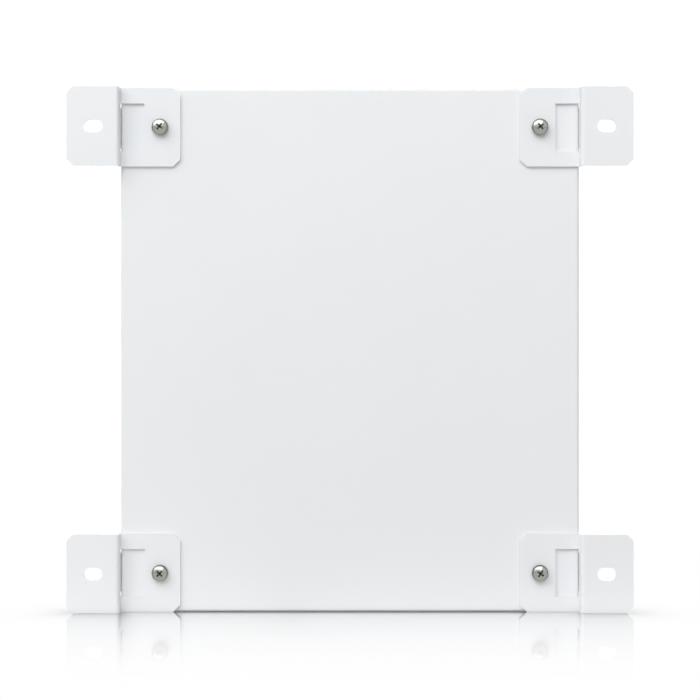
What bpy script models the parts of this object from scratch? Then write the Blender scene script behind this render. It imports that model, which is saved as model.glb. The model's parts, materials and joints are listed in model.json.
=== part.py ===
"""Wall and ceiling access point: a steel pan with four joggled mounting ears and a plastic radome.

+Z is up and +Y points towards the radome. The origin is the middle of the bounding box's underside.
The flat rear of the pan faces -Y. The ears' outer faces, which meet the wall, are the part's lowest Y.
"""
import math

import bmesh
import bpy
from mathutils import Matrix, Vector

MM = 0.001

# Driving dimensions
BODY_WIDTH = 220.0 * MM
BODY_HEIGHT = 251.2 * MM
BODY_DEPTH = 49.5 * MM            # rear of the pan to the crown of the radome
STAND_OFF = 6.5 * MM              # rear of the pan to the wall
FIT_GAP = 0.3 * MM                # between pieces that touch

PAN_SHEET = 1.2 * MM
PAN_DEPTH = 27.0 * MM
PAN_BEND = 1.5 * MM               # outer radius of the pan's bends
PAN_RETURN = 6.8 * MM             # width of the inward rim at the pan's mouth

EAR_SHEET = 1.2 * MM
EAR_BEND = 0.5 * MM               # inner radius of the ear's two bends
EAR_HEIGHT = 37.6 * MM
EAR_OUTER_X = 135.15 * MM         # end of the flange, from the middle of the body
EAR_INNER_X = 81.4 * MM           # end of the plate
FLANGE_CHAMFER = 3.0 * MM
PLATE_CHAMFER = 3.4 * MM
SLOT_X = 122.4 * MM
SLOT_LENGTH = 9.05 * MM
SLOT_WIDTH = 6.2 * MM
WINDOW_INNER_X = 98.5 * MM
WINDOW_HEIGHT = 22.8 * MM
TAB_WIDTH = 18.5 * MM
TAB_REACH = 11.1 * MM             # how far the tab runs down the pan's side
SCREW_X = 91.0 * MM
SCREW_HEAD_RADIUS = 3.92 * MM
SCREW_HEAD_HEIGHT = 3.2 * MM
SCREW_SHANK = (1.9 * MM, 6.5 * MM)     # radius and length
SCREW_RECESS = 3.3 * MM           # across the cross recess
SCREW_HOLE_RADIUS = 2.2 * MM
NUT_RADIUS = 4.2 * MM
NUT_HEIGHT = 3.2 * MM
SCREW_TURNS_DEG = {"top_left": 38, "top_right": 50, "bottom_left": 44, "bottom_right": 35}

RADOME_WALL = 2.2 * MM
RADOME_INSET = 0.6 * MM           # radome's foot inside the pan's outline
LIP_REACH = 2.2 * MM              # radome's lip below the pan's rim

BOARD_SHEET = 1.6 * MM
BOARD_STAND = 6.3 * MM            # pan floor to the board
BOARD_X = (-84.0 * MM, 107.0 * MM)
BOARD_HALF_HEIGHT = 92.0 * MM
STANDOFF_X = (-76.0 * MM, 96.0 * MM)
STANDOFF_UP = 84.0 * MM           # above and below the body's middle

JACK_UPS = (-13.6 * MM, 8.4 * MM)  # the two jacks, above the body's middle
JACK_WIDTH = 16.2 * MM
JACK_HEIGHT = 13.7 * MM
JACK_LENGTH = 18.2 * MM
JACK_MOUTH = 11.9 * MM
JACK_DEPTH = 14.0 * MM
BUTTON_UP = 26.4 * MM
BUTTON_TRAVEL = 0.6 * MM
BUTTON_RADIUS = 1.4 * MM
SWITCH_FACE_X = 105.0 * MM
LOCK_SLOT_UP = -37.6 * MM
LOCK_SLOT_HALF = (1.5 * MM, 3.5 * MM)

ANTENNA_PLATE_HALF = (55.0 * MM, 68.0 * MM)
ANTENNA_PLATE_SHEET = 1.0 * MM
POST_PLACES = [(x * MM, up * MM) for x in (-22.0, 46.0) for up in (-60.0, 60.0)]
ELEMENT_PLACES = [(x * MM, up * MM) for x in (-36.0, 36.0) for up in (-42.0, 42.0)]
LEAD_RADIUS = 0.7 * MM
LIGHT_UP = -87.6 * MM
LIGHT_HALF = (8.0 * MM, 1.0 * MM)

# Places worked out from them
TOTAL_DEPTH = BODY_DEPTH + STAND_OFF
WALL_Y = -TOTAL_DEPTH / 2
REAR_Y = WALL_Y + STAND_OFF
FRONT_Y = TOTAL_DEPTH / 2
FLOOR_Y = REAR_Y + PAN_SHEET                  # inside of the pan
RIM_Y = REAR_Y + PAN_DEPTH
MID_Z = BODY_HEIGHT / 2
HALF_W = BODY_WIDTH / 2
EAR_Z = {"top": BODY_HEIGHT - EAR_HEIGHT / 2, "bottom": EAR_HEIGHT / 2}
PLATE_Y = REAR_Y - FIT_GAP - EAR_SHEET        # outer face of the ear's plate
WEB_X = HALF_W + FIT_GAP                      # inner face of the ear's web
BOARD_REAR_Y = FLOOR_Y + BOARD_STAND
BOARD_FRONT_Y = BOARD_REAR_Y + BOARD_SHEET
PART_Y = BOARD_FRONT_Y + FIT_GAP              # underside of what sits on the board
BUTTON_Y = PART_Y + 2.9 * MM
ANTENNA_PLATE_Y = RIM_Y + 1.0 * MM
ANTENNA_PLATE_TOP = ANTENNA_PLATE_Y + ANTENNA_PLATE_SHEET


# Materials

def material(name, colour, roughness, metallic=0.0, alpha=1.0):
    made = bpy.data.materials.new(name)
    made.use_nodes = True
    shader = made.node_tree.nodes["Principled BSDF"]
    shader.inputs["Base Color"].default_value = (*colour, 1.0)
    shader.inputs["Roughness"].default_value = roughness
    shader.inputs["Metallic"].default_value = metallic
    shader.inputs["Alpha"].default_value = alpha
    made.diffuse_color = (*colour, 1.0)
    return made


# Mesh building

def to_mesh(name, bm):
    bmesh.ops.recalc_face_normals(bm, faces=bm.faces)
    mesh = bpy.data.meshes.new(name)
    bm.to_mesh(mesh)
    bm.free()
    return mesh


def loft(name, rings, closed=False):
    """Skin through rings of equal length; ends are capped, or joined to each other when closed."""
    bm = bmesh.new()
    loops = [[bm.verts.new(point) for point in ring] for ring in rings]
    pairs = list(zip(loops, loops[1:]))
    if closed:
        pairs.append((loops[-1], loops[0]))
    else:
        bm.faces.new(loops[0])
        bm.faces.new(loops[-1])
    count = len(rings[0])
    for near, far in pairs:
        for index in range(count):
            after = (index + 1) % count
            bm.faces.new((near[index], near[after], far[after], far[index]))
    return to_mesh(name, bm)


def prism(name, outline, low, high, axis):
    """Outline (u, v) drawn across an axis and extruded from low to high along it."""
    place = {
        "X": lambda u, v, w: (w, u, v),
        "Y": lambda u, v, w: (u, w, v),
        "Z": lambda u, v, w: (u, v, w),
    }[axis]
    return loft(name, [[place(u, v, w) for u, v in outline] for w in (low, high)])


def box(name, low, high):
    outline = [(low[0], low[1]), (high[0], low[1]), (high[0], high[1]), (low[0], high[1])]
    return prism(name, outline, low[2], high[2], "Z")


def circle(radius, along, centre, axis, sides):
    """Ring of points round an axis through the centre, at a distance along it."""
    points = []
    for index in range(sides):
        angle = 2 * math.pi * (index + 0.5) / sides
        u, v = radius * math.cos(angle), radius * math.sin(angle)
        offset = {"X": (along, u, v), "Y": (u, along, v), "Z": (u, v, along)}[axis]
        points.append(tuple(c + o for c, o in zip(centre, offset)))
    return points


def turned(name, profile, centre, axis="Y", sides=24, closed=False):
    """Solid of revolution from (radius, along) pairs; a closed profile makes a tube."""
    return loft(name, [circle(r, a, centre, axis, sides) for r, a in profile], closed)


def rounded_ring(half_x, half_z, radius, y, segments=3):
    """Rounded rectangle round the body's middle, in the plane y."""
    points = []
    for quarter, (side_x, side_z) in enumerate(((1, 1), (-1, 1), (-1, -1), (1, -1))):
        for step in range(segments + 1):
            angle = math.pi / 2 * (quarter + step / segments)
            x = side_x * (half_x - radius) + radius * math.cos(angle)
            z = side_z * (half_z - radius) + radius * math.sin(angle)
            points.append((x, y, MID_Z + z))
    return points


def arc(centre, radius, start_deg, end_deg, steps=4):
    angles = [math.radians(start_deg + (end_deg - start_deg) * i / steps) for i in range(steps + 1)]
    return [(centre[0] + radius * math.cos(a), centre[1] + radius * math.sin(a)) for a in angles]


def combine(mesh, tools, operation="DIFFERENCE"):
    """Mesh with every tool mesh cut from it, or joined to it by UNION."""
    base = bpy.data.objects.new("base", mesh)
    bpy.context.collection.objects.link(base)
    helpers = [base]
    for tool_mesh in tools:
        tool = bpy.data.objects.new("tool", tool_mesh)
        bpy.context.collection.objects.link(tool)
        helpers.append(tool)
        modifier = base.modifiers.new("cut", "BOOLEAN")
        modifier.operation = operation
        modifier.solver = "EXACT"
        modifier.object = tool
    bpy.context.view_layer.update()
    depsgraph = bpy.context.evaluated_depsgraph_get()
    result = bpy.data.meshes.new_from_object(base.evaluated_get(depsgraph))
    for helper in helpers:
        bpy.data.objects.remove(helper)
    return result


def add_part(name, mesh, finish, origin=(0, 0, 0), place=None):
    """Object for one sub-part. Its mesh is drawn in the row frame, and origin becomes its own origin.

    A place moves a mesh that was drawn about its own origin.
    """
    if place is None:
        mesh.transform(Matrix.Translation(-Vector(origin)))
        place = Matrix.Translation(origin)
    made = bpy.data.objects.new(name, mesh)
    made.matrix_world = place
    mesh.materials.clear()
    mesh.materials.append(finish)
    mesh.shade_smooth()
    mesh.set_sharp_from_angle(angle=math.radians(35))
    bpy.context.collection.objects.link(made)
    return made


# Enclosure

def rear_chassis(finish):
    """Folded pan with a flat rear, four walls and an inward rim, and the cut-outs of its port wall."""
    half_x, half_z = HALF_W, BODY_HEIGHT / 2
    rings = []
    for angle in (0, 30, 60, 90):
        inset = PAN_BEND * (1 - math.sin(math.radians(angle)))
        y = REAR_Y + PAN_BEND * (1 - math.cos(math.radians(angle)))
        rings.append(rounded_ring(half_x - inset, half_z - inset, PAN_BEND, y))
    inner = PAN_SHEET
    tight = 0.4 * MM
    mouth_corner = 3 * MM
    rings.append(rounded_ring(half_x, half_z, PAN_BEND, RIM_Y))
    rings.append(rounded_ring(half_x - PAN_RETURN, half_z - PAN_RETURN, mouth_corner, RIM_Y))
    rings.append(rounded_ring(half_x - PAN_RETURN, half_z - PAN_RETURN, mouth_corner, RIM_Y - PAN_SHEET))
    rings.append(rounded_ring(half_x - inner, half_z - inner, tight, RIM_Y - PAN_SHEET))
    rings.append(rounded_ring(half_x - inner, half_z - inner, tight, FLOOR_Y))
    pan = loft("pan", rings)

    through = (HALF_W - 5 * MM, HALF_W + 5 * MM)
    cutters = []
    for up in JACK_UPS:
        half = JACK_WIDTH / 2 + FIT_GAP
        low_y, high_y = PART_Y - FIT_GAP, PART_Y + JACK_HEIGHT + FIT_GAP
        cutters.append(box("jack_hole", (through[0], low_y, MID_Z + up - half),
                           (through[1], high_y, MID_Z + up + half)))
    button_centre = (0, BUTTON_Y, MID_Z + BUTTON_UP)
    hole = [(BUTTON_RADIUS + FIT_GAP, through[0]), (BUTTON_RADIUS + FIT_GAP, through[1])]
    cutters.append(turned("button_hole", hole, button_centre, "X", 16))
    lock_z = MID_Z + LOCK_SLOT_UP
    cutters.append(box("lock_slot", (through[0], BUTTON_Y - LOCK_SLOT_HALF[0], lock_z - LOCK_SLOT_HALF[1]),
                       (through[1], BUTTON_Y + LOCK_SLOT_HALF[0], lock_z + LOCK_SLOT_HALF[1])))
    for side in (-1, 1):
        for z in EAR_Z.values():
            shank = [(SCREW_HOLE_RADIUS, -5 * MM), (SCREW_HOLE_RADIUS, 5 * MM)]
            cutters.append(turned("screw_hole", shank, (side * SCREW_X, REAR_Y, z), "Y", 16))
    return add_part("rear_chassis", combine(pan, cutters), finish)


def radome_outer(steps=5):
    """(inset, y) pairs up the radome's outside: drafted wall, rounded front edge and shallow crown."""
    edge, draft, crown_rise = 6.0 * MM, 0.4 * MM, 1.4 * MM
    shoulder_y = FRONT_Y - crown_rise - edge
    pairs = [(0.0, RIM_Y + FIT_GAP)]
    for step in range(steps + 1):
        angle = math.pi / 2 * step / steps
        pairs.append((draft + edge * (1 - math.cos(angle)), shoulder_y + edge * math.sin(angle)))
    reach = HALF_W - RADOME_INSET - draft - edge
    for share in (0.25, 0.55, 0.85):
        y = FRONT_Y - crown_rise * (1 - share) ** 2
        pairs.append((draft + edge + reach * share, y))
    return pairs


def front_radome(finish):
    """Crowned plastic cover with a groove for the seal and a lip that enters the pan's mouth."""
    half_x, half_z = HALF_W - RADOME_INSET, BODY_HEIGHT / 2 - RADOME_INSET
    foot_y = RIM_Y + FIT_GAP
    lip_outer = HALF_W - PAN_RETURN - FIT_GAP
    lip_inner = lip_outer - 1.6 * MM
    extra = half_z - half_x
    corner = 6 * MM
    groove_y = foot_y + 2.5 * MM

    def ring(inset, y):
        return rounded_ring(half_x - inset, half_z - inset, corner + 0.3 * min(inset, corner), y)

    def lip_ring(half, y):
        return rounded_ring(half, half + extra, 3 * MM, y)

    outer = radome_outer()
    wall_inner = [(inset + RADOME_WALL, y - RADOME_WALL) for inset, y in outer[1:]]
    rings = [ring(inset, y) for inset, y in reversed(wall_inner)]
    rings.append(ring(RADOME_WALL, groove_y + 2.5 * MM))
    rings.append(lip_ring(lip_inner, groove_y + 2.5 * MM))
    rings.append(lip_ring(lip_inner, RIM_Y - PAN_SHEET - LIP_REACH))
    rings.append(lip_ring(lip_outer, RIM_Y - PAN_SHEET - LIP_REACH))
    rings.append(lip_ring(lip_outer, groove_y))
    rings.append(ring(RADOME_WALL, groove_y))
    rings.append(ring(RADOME_WALL, foot_y))
    rings += [ring(inset, y) for inset, y in outer]
    shell = loft("radome", rings)
    half_x, half_z = LIGHT_HALF[0] + FIT_GAP, LIGHT_HALF[1] + FIT_GAP
    window = box("window", (-half_x, FRONT_Y - 10 * MM, MID_Z + LIGHT_UP - half_z),
                 (half_x, FRONT_Y + 2 * MM, MID_Z + LIGHT_UP + half_z))
    return add_part("front_radome", combine(shell, [window]), finish, (0, RIM_Y, MID_Z))


def rim_gasket(finish):
    """Seal lying on the pan's rim, inside the radome's groove."""
    outer = HALF_W - RADOME_INSET - RADOME_WALL - FIT_GAP
    inner = HALF_W - PAN_RETURN + FIT_GAP
    extra = (BODY_HEIGHT - BODY_WIDTH) / 2
    low, high = RIM_Y + FIT_GAP, RIM_Y + 2.5 * MM
    section = ((outer, low, 7 * MM), (outer, high, 7 * MM), (inner, high, 3.5 * MM), (inner, low, 3.5 * MM))
    rings = [rounded_ring(half, half + extra, radius, y) for half, y, radius in section]
    return add_part("rim_gasket", loft("gasket", rings, closed=True), finish)


# Ears and their fasteners

def ear_mesh():
    """Joggled ear, drawn for +X about its own mid-height. Half a turn about Y makes it the -X one."""
    bend_out = EAR_BEND + EAR_SHEET
    plate_in, flange_in = REAR_Y - FIT_GAP, WALL_Y + EAR_SHEET
    section = [(EAR_INNER_X, PLATE_Y)]
    section += arc((WEB_X - EAR_BEND, PLATE_Y - EAR_BEND), EAR_BEND, 90, 0)
    section += arc((WEB_X + bend_out, WALL_Y + bend_out), bend_out, 180, 270)
    section += [(EAR_OUTER_X, WALL_Y), (EAR_OUTER_X, flange_in)]
    section += arc((WEB_X + bend_out, flange_in + EAR_BEND), EAR_BEND, 270, 180)
    section += arc((WEB_X - EAR_BEND, PLATE_Y - EAR_BEND), bend_out, 0, 90)
    section += [(EAR_INNER_X, plate_in)]
    half = EAR_HEIGHT / 2
    blank = prism("ear", section, -half, half, "Z")

    straight_y = PLATE_Y - EAR_BEND           # where the web leaves the plate's bend
    deep = 20 * MM
    cutters = [box("window", (WINDOW_INNER_X, straight_y, -WINDOW_HEIGHT / 2),
                   (WEB_X + 3 * MM, REAR_Y + deep, WINDOW_HEIGHT / 2))]
    for end_x, chamfer, inward in ((EAR_OUTER_X, FLANGE_CHAMFER, -1), (EAR_INNER_X, PLATE_CHAMFER, 1)):
        for up in (-1, 1):
            past = 1 * MM
            corner = [(end_x - inward * past, up * (half - chamfer - past)),
                      (end_x + inward * (chamfer + past), up * (half + past)),
                      (end_x - inward * past, up * (half + past))]
            cutters.append(prism("chamfer", corner, WALL_Y - deep, REAR_Y + deep, "Y"))
    straight, radius = (SLOT_LENGTH - SLOT_WIDTH) / 2, SLOT_WIDTH / 2
    slot = arc((SLOT_X + straight, 0), radius, -90, 90, 8) + arc((SLOT_X - straight, 0), radius, 90, 270, 8)
    cutters.append(prism("slot", slot, WALL_Y - deep, REAR_Y + deep, "Y"))
    hole = [(SCREW_HOLE_RADIUS, -5 * MM), (SCREW_HOLE_RADIUS, 5 * MM)]
    cutters.append(turned("hole", hole, (SCREW_X, PLATE_Y, 0), "Y", 16))
    tab_end_y = REAR_Y + TAB_REACH
    corner = 1 * MM
    tab = [(straight_y - 1 * MM, -TAB_WIDTH / 2), (tab_end_y - corner, -TAB_WIDTH / 2),
           (tab_end_y, -TAB_WIDTH / 2 + corner), (tab_end_y, TAB_WIDTH / 2 - corner),
           (tab_end_y - corner, TAB_WIDTH / 2), (straight_y - 1 * MM, TAB_WIDTH / 2)]
    tab_mesh = prism("tab", tab, WEB_X, WEB_X + EAR_SHEET, "X")
    return combine(combine(blank, cutters), [tab_mesh], "UNION")


def blade(length, width, depth, quarter_turn):
    """One tapered wing of a cross recess, along -Y from the head's top at y = 0."""
    rings = []
    for y, share in ((-1 * MM, 1.25), (depth, 0.45)):
        u, v = length / 2 * share, width / 2 * share
        if quarter_turn:
            u, v = v, u
        rings.append([(-u, y, -v), (u, y, -v), (u, y, v), (-u, y, v)])
    return loft("blade", rings)


def screw_mesh(head_radius, head_height, shank_radius, shank_length, recess, sides=20):
    """Pan head cross-recess screw that points along +Y, with its head's underside at y = 0."""
    rise = [math.radians(angle) for angle in (14, 38, 60, 78)]
    dome = [(head_radius * math.sin(a), -head_height * (0.4 + 0.6 * math.cos(a))) for a in rise]
    profile = dome + [(head_radius, -0.4 * head_height), (head_radius, -0.12 * head_height),
                      (0.95 * head_radius, 0), (shank_radius, 0), (shank_radius, shank_length - 0.4 * MM),
                      (shank_radius - 0.4 * MM, shank_length)]
    body = turned("screw", profile, (0, 0, 0), "Y", sides)
    blades = [blade(recess, 0.27 * recess, 0.55 * recess, quarter) for quarter in (False, True)]
    for cutter in blades:
        cutter.transform(Matrix.Translation((0, -head_height, 0)))
    return combine(body, blades)


def ears_and_fasteners(coat, plated, nut_finish):
    ear = ear_mesh()
    screw = screw_mesh(SCREW_HEAD_RADIUS, SCREW_HEAD_HEIGHT, *SCREW_SHANK, SCREW_RECESS)
    section = [(NUT_RADIUS, 0), (NUT_RADIUS, NUT_HEIGHT), (SCREW_HOLE_RADIUS, NUT_HEIGHT),
               (SCREW_HOLE_RADIUS, 0)]
    nut = turned("nut", section, (0, 0, 0), "Y", 12, closed=True)
    for level, z in EAR_Z.items():
        for side, side_name in ((-1, "left"), (1, "right")):
            where = f"{level}_{side_name}"
            turn = Matrix.Rotation(0 if side > 0 else math.pi, 4, "Y")
            add_part(f"mount_ear_{where}", ear, coat, place=Matrix.Translation((0, 0, z)) @ turn)
            seat = Matrix.Translation((side * SCREW_X, PLATE_Y - FIT_GAP, z))
            twist = Matrix.Rotation(math.radians(SCREW_TURNS_DEG[where]), 4, "Y")
            add_part(f"ear_screw_{where}", screw, plated, place=seat @ twist)
            inside = Matrix.Translation((side * SCREW_X, FLOOR_Y + FIT_GAP, z))
            add_part(f"press_nut_{where}", nut, nut_finish, place=inside)


# Inside the pan

def heat_path(aluminium, pad_finish):
    low_y, high_y = FLOOR_Y + FIT_GAP, FLOOR_Y + 4.3 * MM
    spreader = box("spreader", (-75 * MM, low_y, MID_Z - 70 * MM), (60 * MM, high_y, MID_Z + 70 * MM))
    add_part("heat_spreader", spreader, aluminium)
    pads = ((-10, 32, -20, 20), (-68, -32, 24, 56), (-68, -32, -58, -26))
    for index, (x0, x1, up0, up1) in enumerate(pads, 1):
        pad = box("pad", (x0 * MM, high_y + FIT_GAP, MID_Z + up0 * MM),
                  (x1 * MM, BOARD_REAR_Y - FIT_GAP, MID_Z + up1 * MM))
        add_part(f"thermal_pad_{index}", pad, pad_finish)


def board_and_fasteners(mask, plated, brass):
    """Circuit board on four pillars, each with its screw."""
    board = box("board", (BOARD_X[0], BOARD_REAR_Y, MID_Z - BOARD_HALF_HEIGHT),
                (BOARD_X[1], BOARD_FRONT_Y, MID_Z + BOARD_HALF_HEIGHT))
    screw = screw_mesh(2.8 * MM, 2.0 * MM, 1.2 * MM, 5.5 * MM, 2.2 * MM, 12)
    bore, pillar_top = 1.5 * MM, BOARD_REAR_Y - FIT_GAP
    pillar_low = FLOOR_Y + FIT_GAP
    holes = []
    places = [(x, MID_Z + up) for x in STANDOFF_X for up in (-STANDOFF_UP, STANDOFF_UP)]
    for index, (x, z) in enumerate(places, 1):
        centre = (x, 0, z)
        through = [(1.6 * MM, BOARD_REAR_Y - 1 * MM), (1.6 * MM, BOARD_FRONT_Y + 1 * MM)]
        holes.append(turned("hole", through, centre, "Y", 16))
        tube = [(2.75 * MM, pillar_low), (2.75 * MM, pillar_top), (bore, pillar_top), (bore, pillar_low)]
        add_part(f"board_standoff_{index}", turned("pillar", tube, centre, "Y", 6, closed=True), brass)
        facing = Matrix.Translation((x, PART_Y, z)) @ Matrix.Rotation(math.pi, 4, "Z")
        add_part(f"board_screw_{index}", screw, plated, place=facing)
    for x, up in POST_PLACES:
        through = [(1.5 * MM, BOARD_REAR_Y - 1 * MM), (1.5 * MM, BOARD_FRONT_Y + 1 * MM)]
        holes.append(turned("hole", through, (x, 0, MID_Z + up), "Y", 12))
    add_part("main_board", combine(board, holes), mask)


def shield_can(name, x_range, up_range, height, finish):
    """Drawn tin lid, open towards the board."""
    wall = 0.4 * MM
    half_x, half_z = (x_range[1] - x_range[0]) / 2, (up_range[1] - up_range[0]) / 2
    middle = Vector(((x_range[0] + x_range[1]) / 2, 0, (up_range[0] + up_range[1]) / 2))
    top = PART_Y + height
    edge = 0.8 * MM
    rings = [rounded_ring(half_x - wall, half_z - wall, edge, top - wall),
             rounded_ring(half_x - wall, half_z - wall, edge, PART_Y),
             rounded_ring(half_x, half_z, edge, PART_Y),
             rounded_ring(half_x, half_z, edge, top - 0.6 * MM),
             rounded_ring(half_x - 0.6 * MM, half_z - 0.6 * MM, edge, top)]
    can = loft("can", rings)
    can.transform(Matrix.Translation(middle))
    add_part(name, can, finish)


def shield_cans(tin):
    shield_can("processor_shield", (-14 * MM, 36 * MM), (-25.6 * MM, 24.4 * MM), 4.5 * MM, tin)
    shield_can("radio_shield_1", (-72 * MM, -28 * MM), (20 * MM, 62 * MM), 4.0 * MM, tin)
    shield_can("radio_shield_2", (-72 * MM, -28 * MM), (-62 * MM, -20 * MM), 4.0 * MM, tin)
    shield_can("radio_shield_3", (-12 * MM, 28 * MM), (34 * MM, 66 * MM), 4.0 * MM, tin)


def ethernet_jacks(finish):
    """Two modular jacks whose mouths are flush with the pan's +X wall."""
    face_x = HALF_W - FIT_GAP
    for index, up in enumerate(JACK_UPS, 1):
        z = MID_Z + up
        shell = box("jack", (face_x - JACK_LENGTH, PART_Y, z - JACK_WIDTH / 2),
                    (face_x, PART_Y + JACK_HEIGHT, z + JACK_WIDTH / 2))
        plug_low, plug_high, latch_high = (PART_Y + d * MM for d in (2.2, 9.5, 11.5))
        plug = box("plug", (face_x - JACK_DEPTH, plug_low, z - JACK_MOUTH / 2),
                   (face_x + 2 * MM, plug_high, z + JACK_MOUTH / 2))
        latch = box("latch", (face_x - JACK_DEPTH, plug_high - 1 * MM, z - 3.2 * MM),
                    (face_x + 2 * MM, latch_high, z + 3.2 * MM))
        add_part(f"ethernet_jack_{index}", combine(shell, [plug, latch]), finish)


def power_parts(core_finish, sleeve_finish, copper):
    """Supply end of the board: transformers, capacitors and a ring inductor."""
    lan = box("lan", (70 * MM, PART_Y, MID_Z - 21 * MM), (83 * MM, PART_Y + 6 * MM, MID_Z - 5 * MM))
    add_part("lan_transformer", lan, core_finish)
    top = PART_Y + 11 * MM
    core = box("core", (62 * MM, PART_Y, MID_Z + 40 * MM), (80 * MM, top, MID_Z + 56 * MM))
    waists = [box("waist", (x - 2 * MM, PART_Y + 3 * MM, MID_Z + 38 * MM),
                  (x + 2 * MM, top - 3 * MM, MID_Z + 58 * MM)) for x in (62 * MM, 80 * MM)]
    add_part("poe_transformer", combine(core, waists), core_finish)
    for index, up in enumerate((66, 77), 1):
        can = [(4.0 * MM, 0), (4.0 * MM, 11.0 * MM), (3.6 * MM, 11.5 * MM)]
        mesh = turned("capacitor", can, (70 * MM, PART_Y, MID_Z + up * MM), "Y", 16)
        add_part(f"capacitor_{index}", mesh, sleeve_finish)
    ring = [(6.5 * MM, 0), (6.5 * MM, 5 * MM), (3.0 * MM, 5 * MM), (3.0 * MM, 0)]
    mesh = turned("inductor", ring, (72 * MM, PART_Y, MID_Z - 44 * MM), "Y", 16, closed=True)
    add_part("power_inductor", mesh, copper)


def reset_control(switch_finish, button_finish):
    """Side-acting switch on the board and the sprung plunger that reaches it through the wall."""
    z = MID_Z + BUTTON_UP
    wall_in = HALF_W - PAN_SHEET
    plunger_end = SWITCH_FACE_X + BUTTON_TRAVEL + FIT_GAP
    body = box("switch", (SWITCH_FACE_X - 5 * MM, PART_Y, z - 3 * MM),
               (SWITCH_FACE_X, PART_Y + 6 * MM, z + 3 * MM))
    add_part("reset_switch", body, switch_finish)
    collar = wall_in - FIT_GAP
    flange = 0.8 * MM
    profile = [(BUTTON_RADIUS, plunger_end), (BUTTON_RADIUS, collar - flange),
               (BUTTON_RADIUS + flange, collar - flange), (BUTTON_RADIUS + flange, collar),
               (BUTTON_RADIUS, collar), (BUTTON_RADIUS, HALF_W - 0.5 * MM),
               (BUTTON_RADIUS - 0.2 * MM, HALF_W - 0.3 * MM)]
    button = turned("button", profile, (0, BUTTON_Y, z), "X", 12)
    add_part("reset_button", button, button_finish, (wall_in, BUTTON_Y, z))


def status_light(guide_finish, lamp_finish):
    """Light bar in the radome's face and the lamp on the board behind it."""
    z = MID_Z + LIGHT_UP
    half_x, half_z = LIGHT_HALF
    guide = box("guide", (-half_x, BOARD_FRONT_Y + 6 * MM, z - half_z),
                (half_x, FRONT_Y - 0.7 * MM, z + half_z))
    add_part("light_guide", guide, guide_finish, (0, RIM_Y, z))
    lamp = box("lamp", (-2 * MM, PART_Y, z - 1 * MM), (2 * MM, PART_Y + 1.2 * MM, z + 1 * MM))
    add_part("status_lamp", lamp, lamp_finish)


# Antennas

def antenna_plate(aluminium, post_finish):
    half_x, half_z = ANTENNA_PLATE_HALF
    top = ANTENNA_PLATE_TOP
    plate = loft("plate", [rounded_ring(half_x, half_z, 5 * MM, y) for y in (ANTENNA_PLATE_Y, top)])
    holes = []
    for index, (x, up) in enumerate(POST_PLACES, 1):
        centre = (x, 0, MID_Z + up)
        across = [(1.9 * MM, ANTENNA_PLATE_Y - 1 * MM), (1.9 * MM, top + 1 * MM)]
        holes.append(turned("hole", across, centre, "Y", 12))
        pin = 1.2 * MM
        profile = [(pin, BOARD_REAR_Y), (pin, PART_Y), (3.5 * MM, PART_Y),
                   (3.0 * MM, ANTENNA_PLATE_Y - FIT_GAP), (1.5 * MM, ANTENNA_PLATE_Y - FIT_GAP),
                   (1.5 * MM, top + FIT_GAP), (2.4 * MM, top + FIT_GAP), (1.2 * MM, top + 2 * MM)]
        add_part(f"antenna_post_{index}", turned("post", profile, centre, "Y", 12), post_finish)
    for up in (-22 * MM, 22 * MM):
        holes.append(box("slot", (-30 * MM, ANTENNA_PLATE_Y - 1 * MM, MID_Z + up - 2 * MM),
                         (30 * MM, top + 1 * MM, MID_Z + up + 2 * MM)))
    add_part("antenna_plate", combine(plate, holes), aluminium)


def antenna_elements(brass):
    """Four stamped blades that stand on the plate, each a quarter turn from its neighbour."""
    foot_y = ANTENNA_PLATE_TOP + FIT_GAP
    half_sheet = 0.4 * MM
    outline = [(-9, 0), (-6.5, 0), (-6.5, 7), (-1.2, 7), (-1.2, 2), (1.2, 2), (1.2, 7), (9, 7), (9, 11),
               (-9, 11)]
    for index, (x, up) in enumerate(ELEMENT_PLACES, 1):
        mesh = prism("element", [(v * MM, u * MM) for u, v in outline], -half_sheet, half_sheet, "X")
        turn = Matrix.Rotation(math.pi / 2 * (index % 2), 4, "Y")
        spot = Matrix.Translation((x, foot_y, MID_Z + up))
        add_part(f"antenna_element_{index}", mesh, brass, place=spot @ turn)


def smooth_route(points, per_span):
    """Points along a Catmull-Rom curve through the route's own points."""
    ends = [points[0] * 2 - points[1], *points, points[-1] * 2 - points[-2]]
    route = []
    for p0, p1, p2, p3 in zip(ends, ends[1:], ends[2:], ends[3:]):
        for step in range(per_span):
            t = step / per_span
            route.append(0.5 * (2 * p1 + (p2 - p0) * t + (2 * p0 - 5 * p1 + 4 * p2 - p3) * t ** 2
                                + (3 * p1 - p0 - 3 * p2 + p3) * t ** 3))
    route.append(points[-1])
    return route


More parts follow.
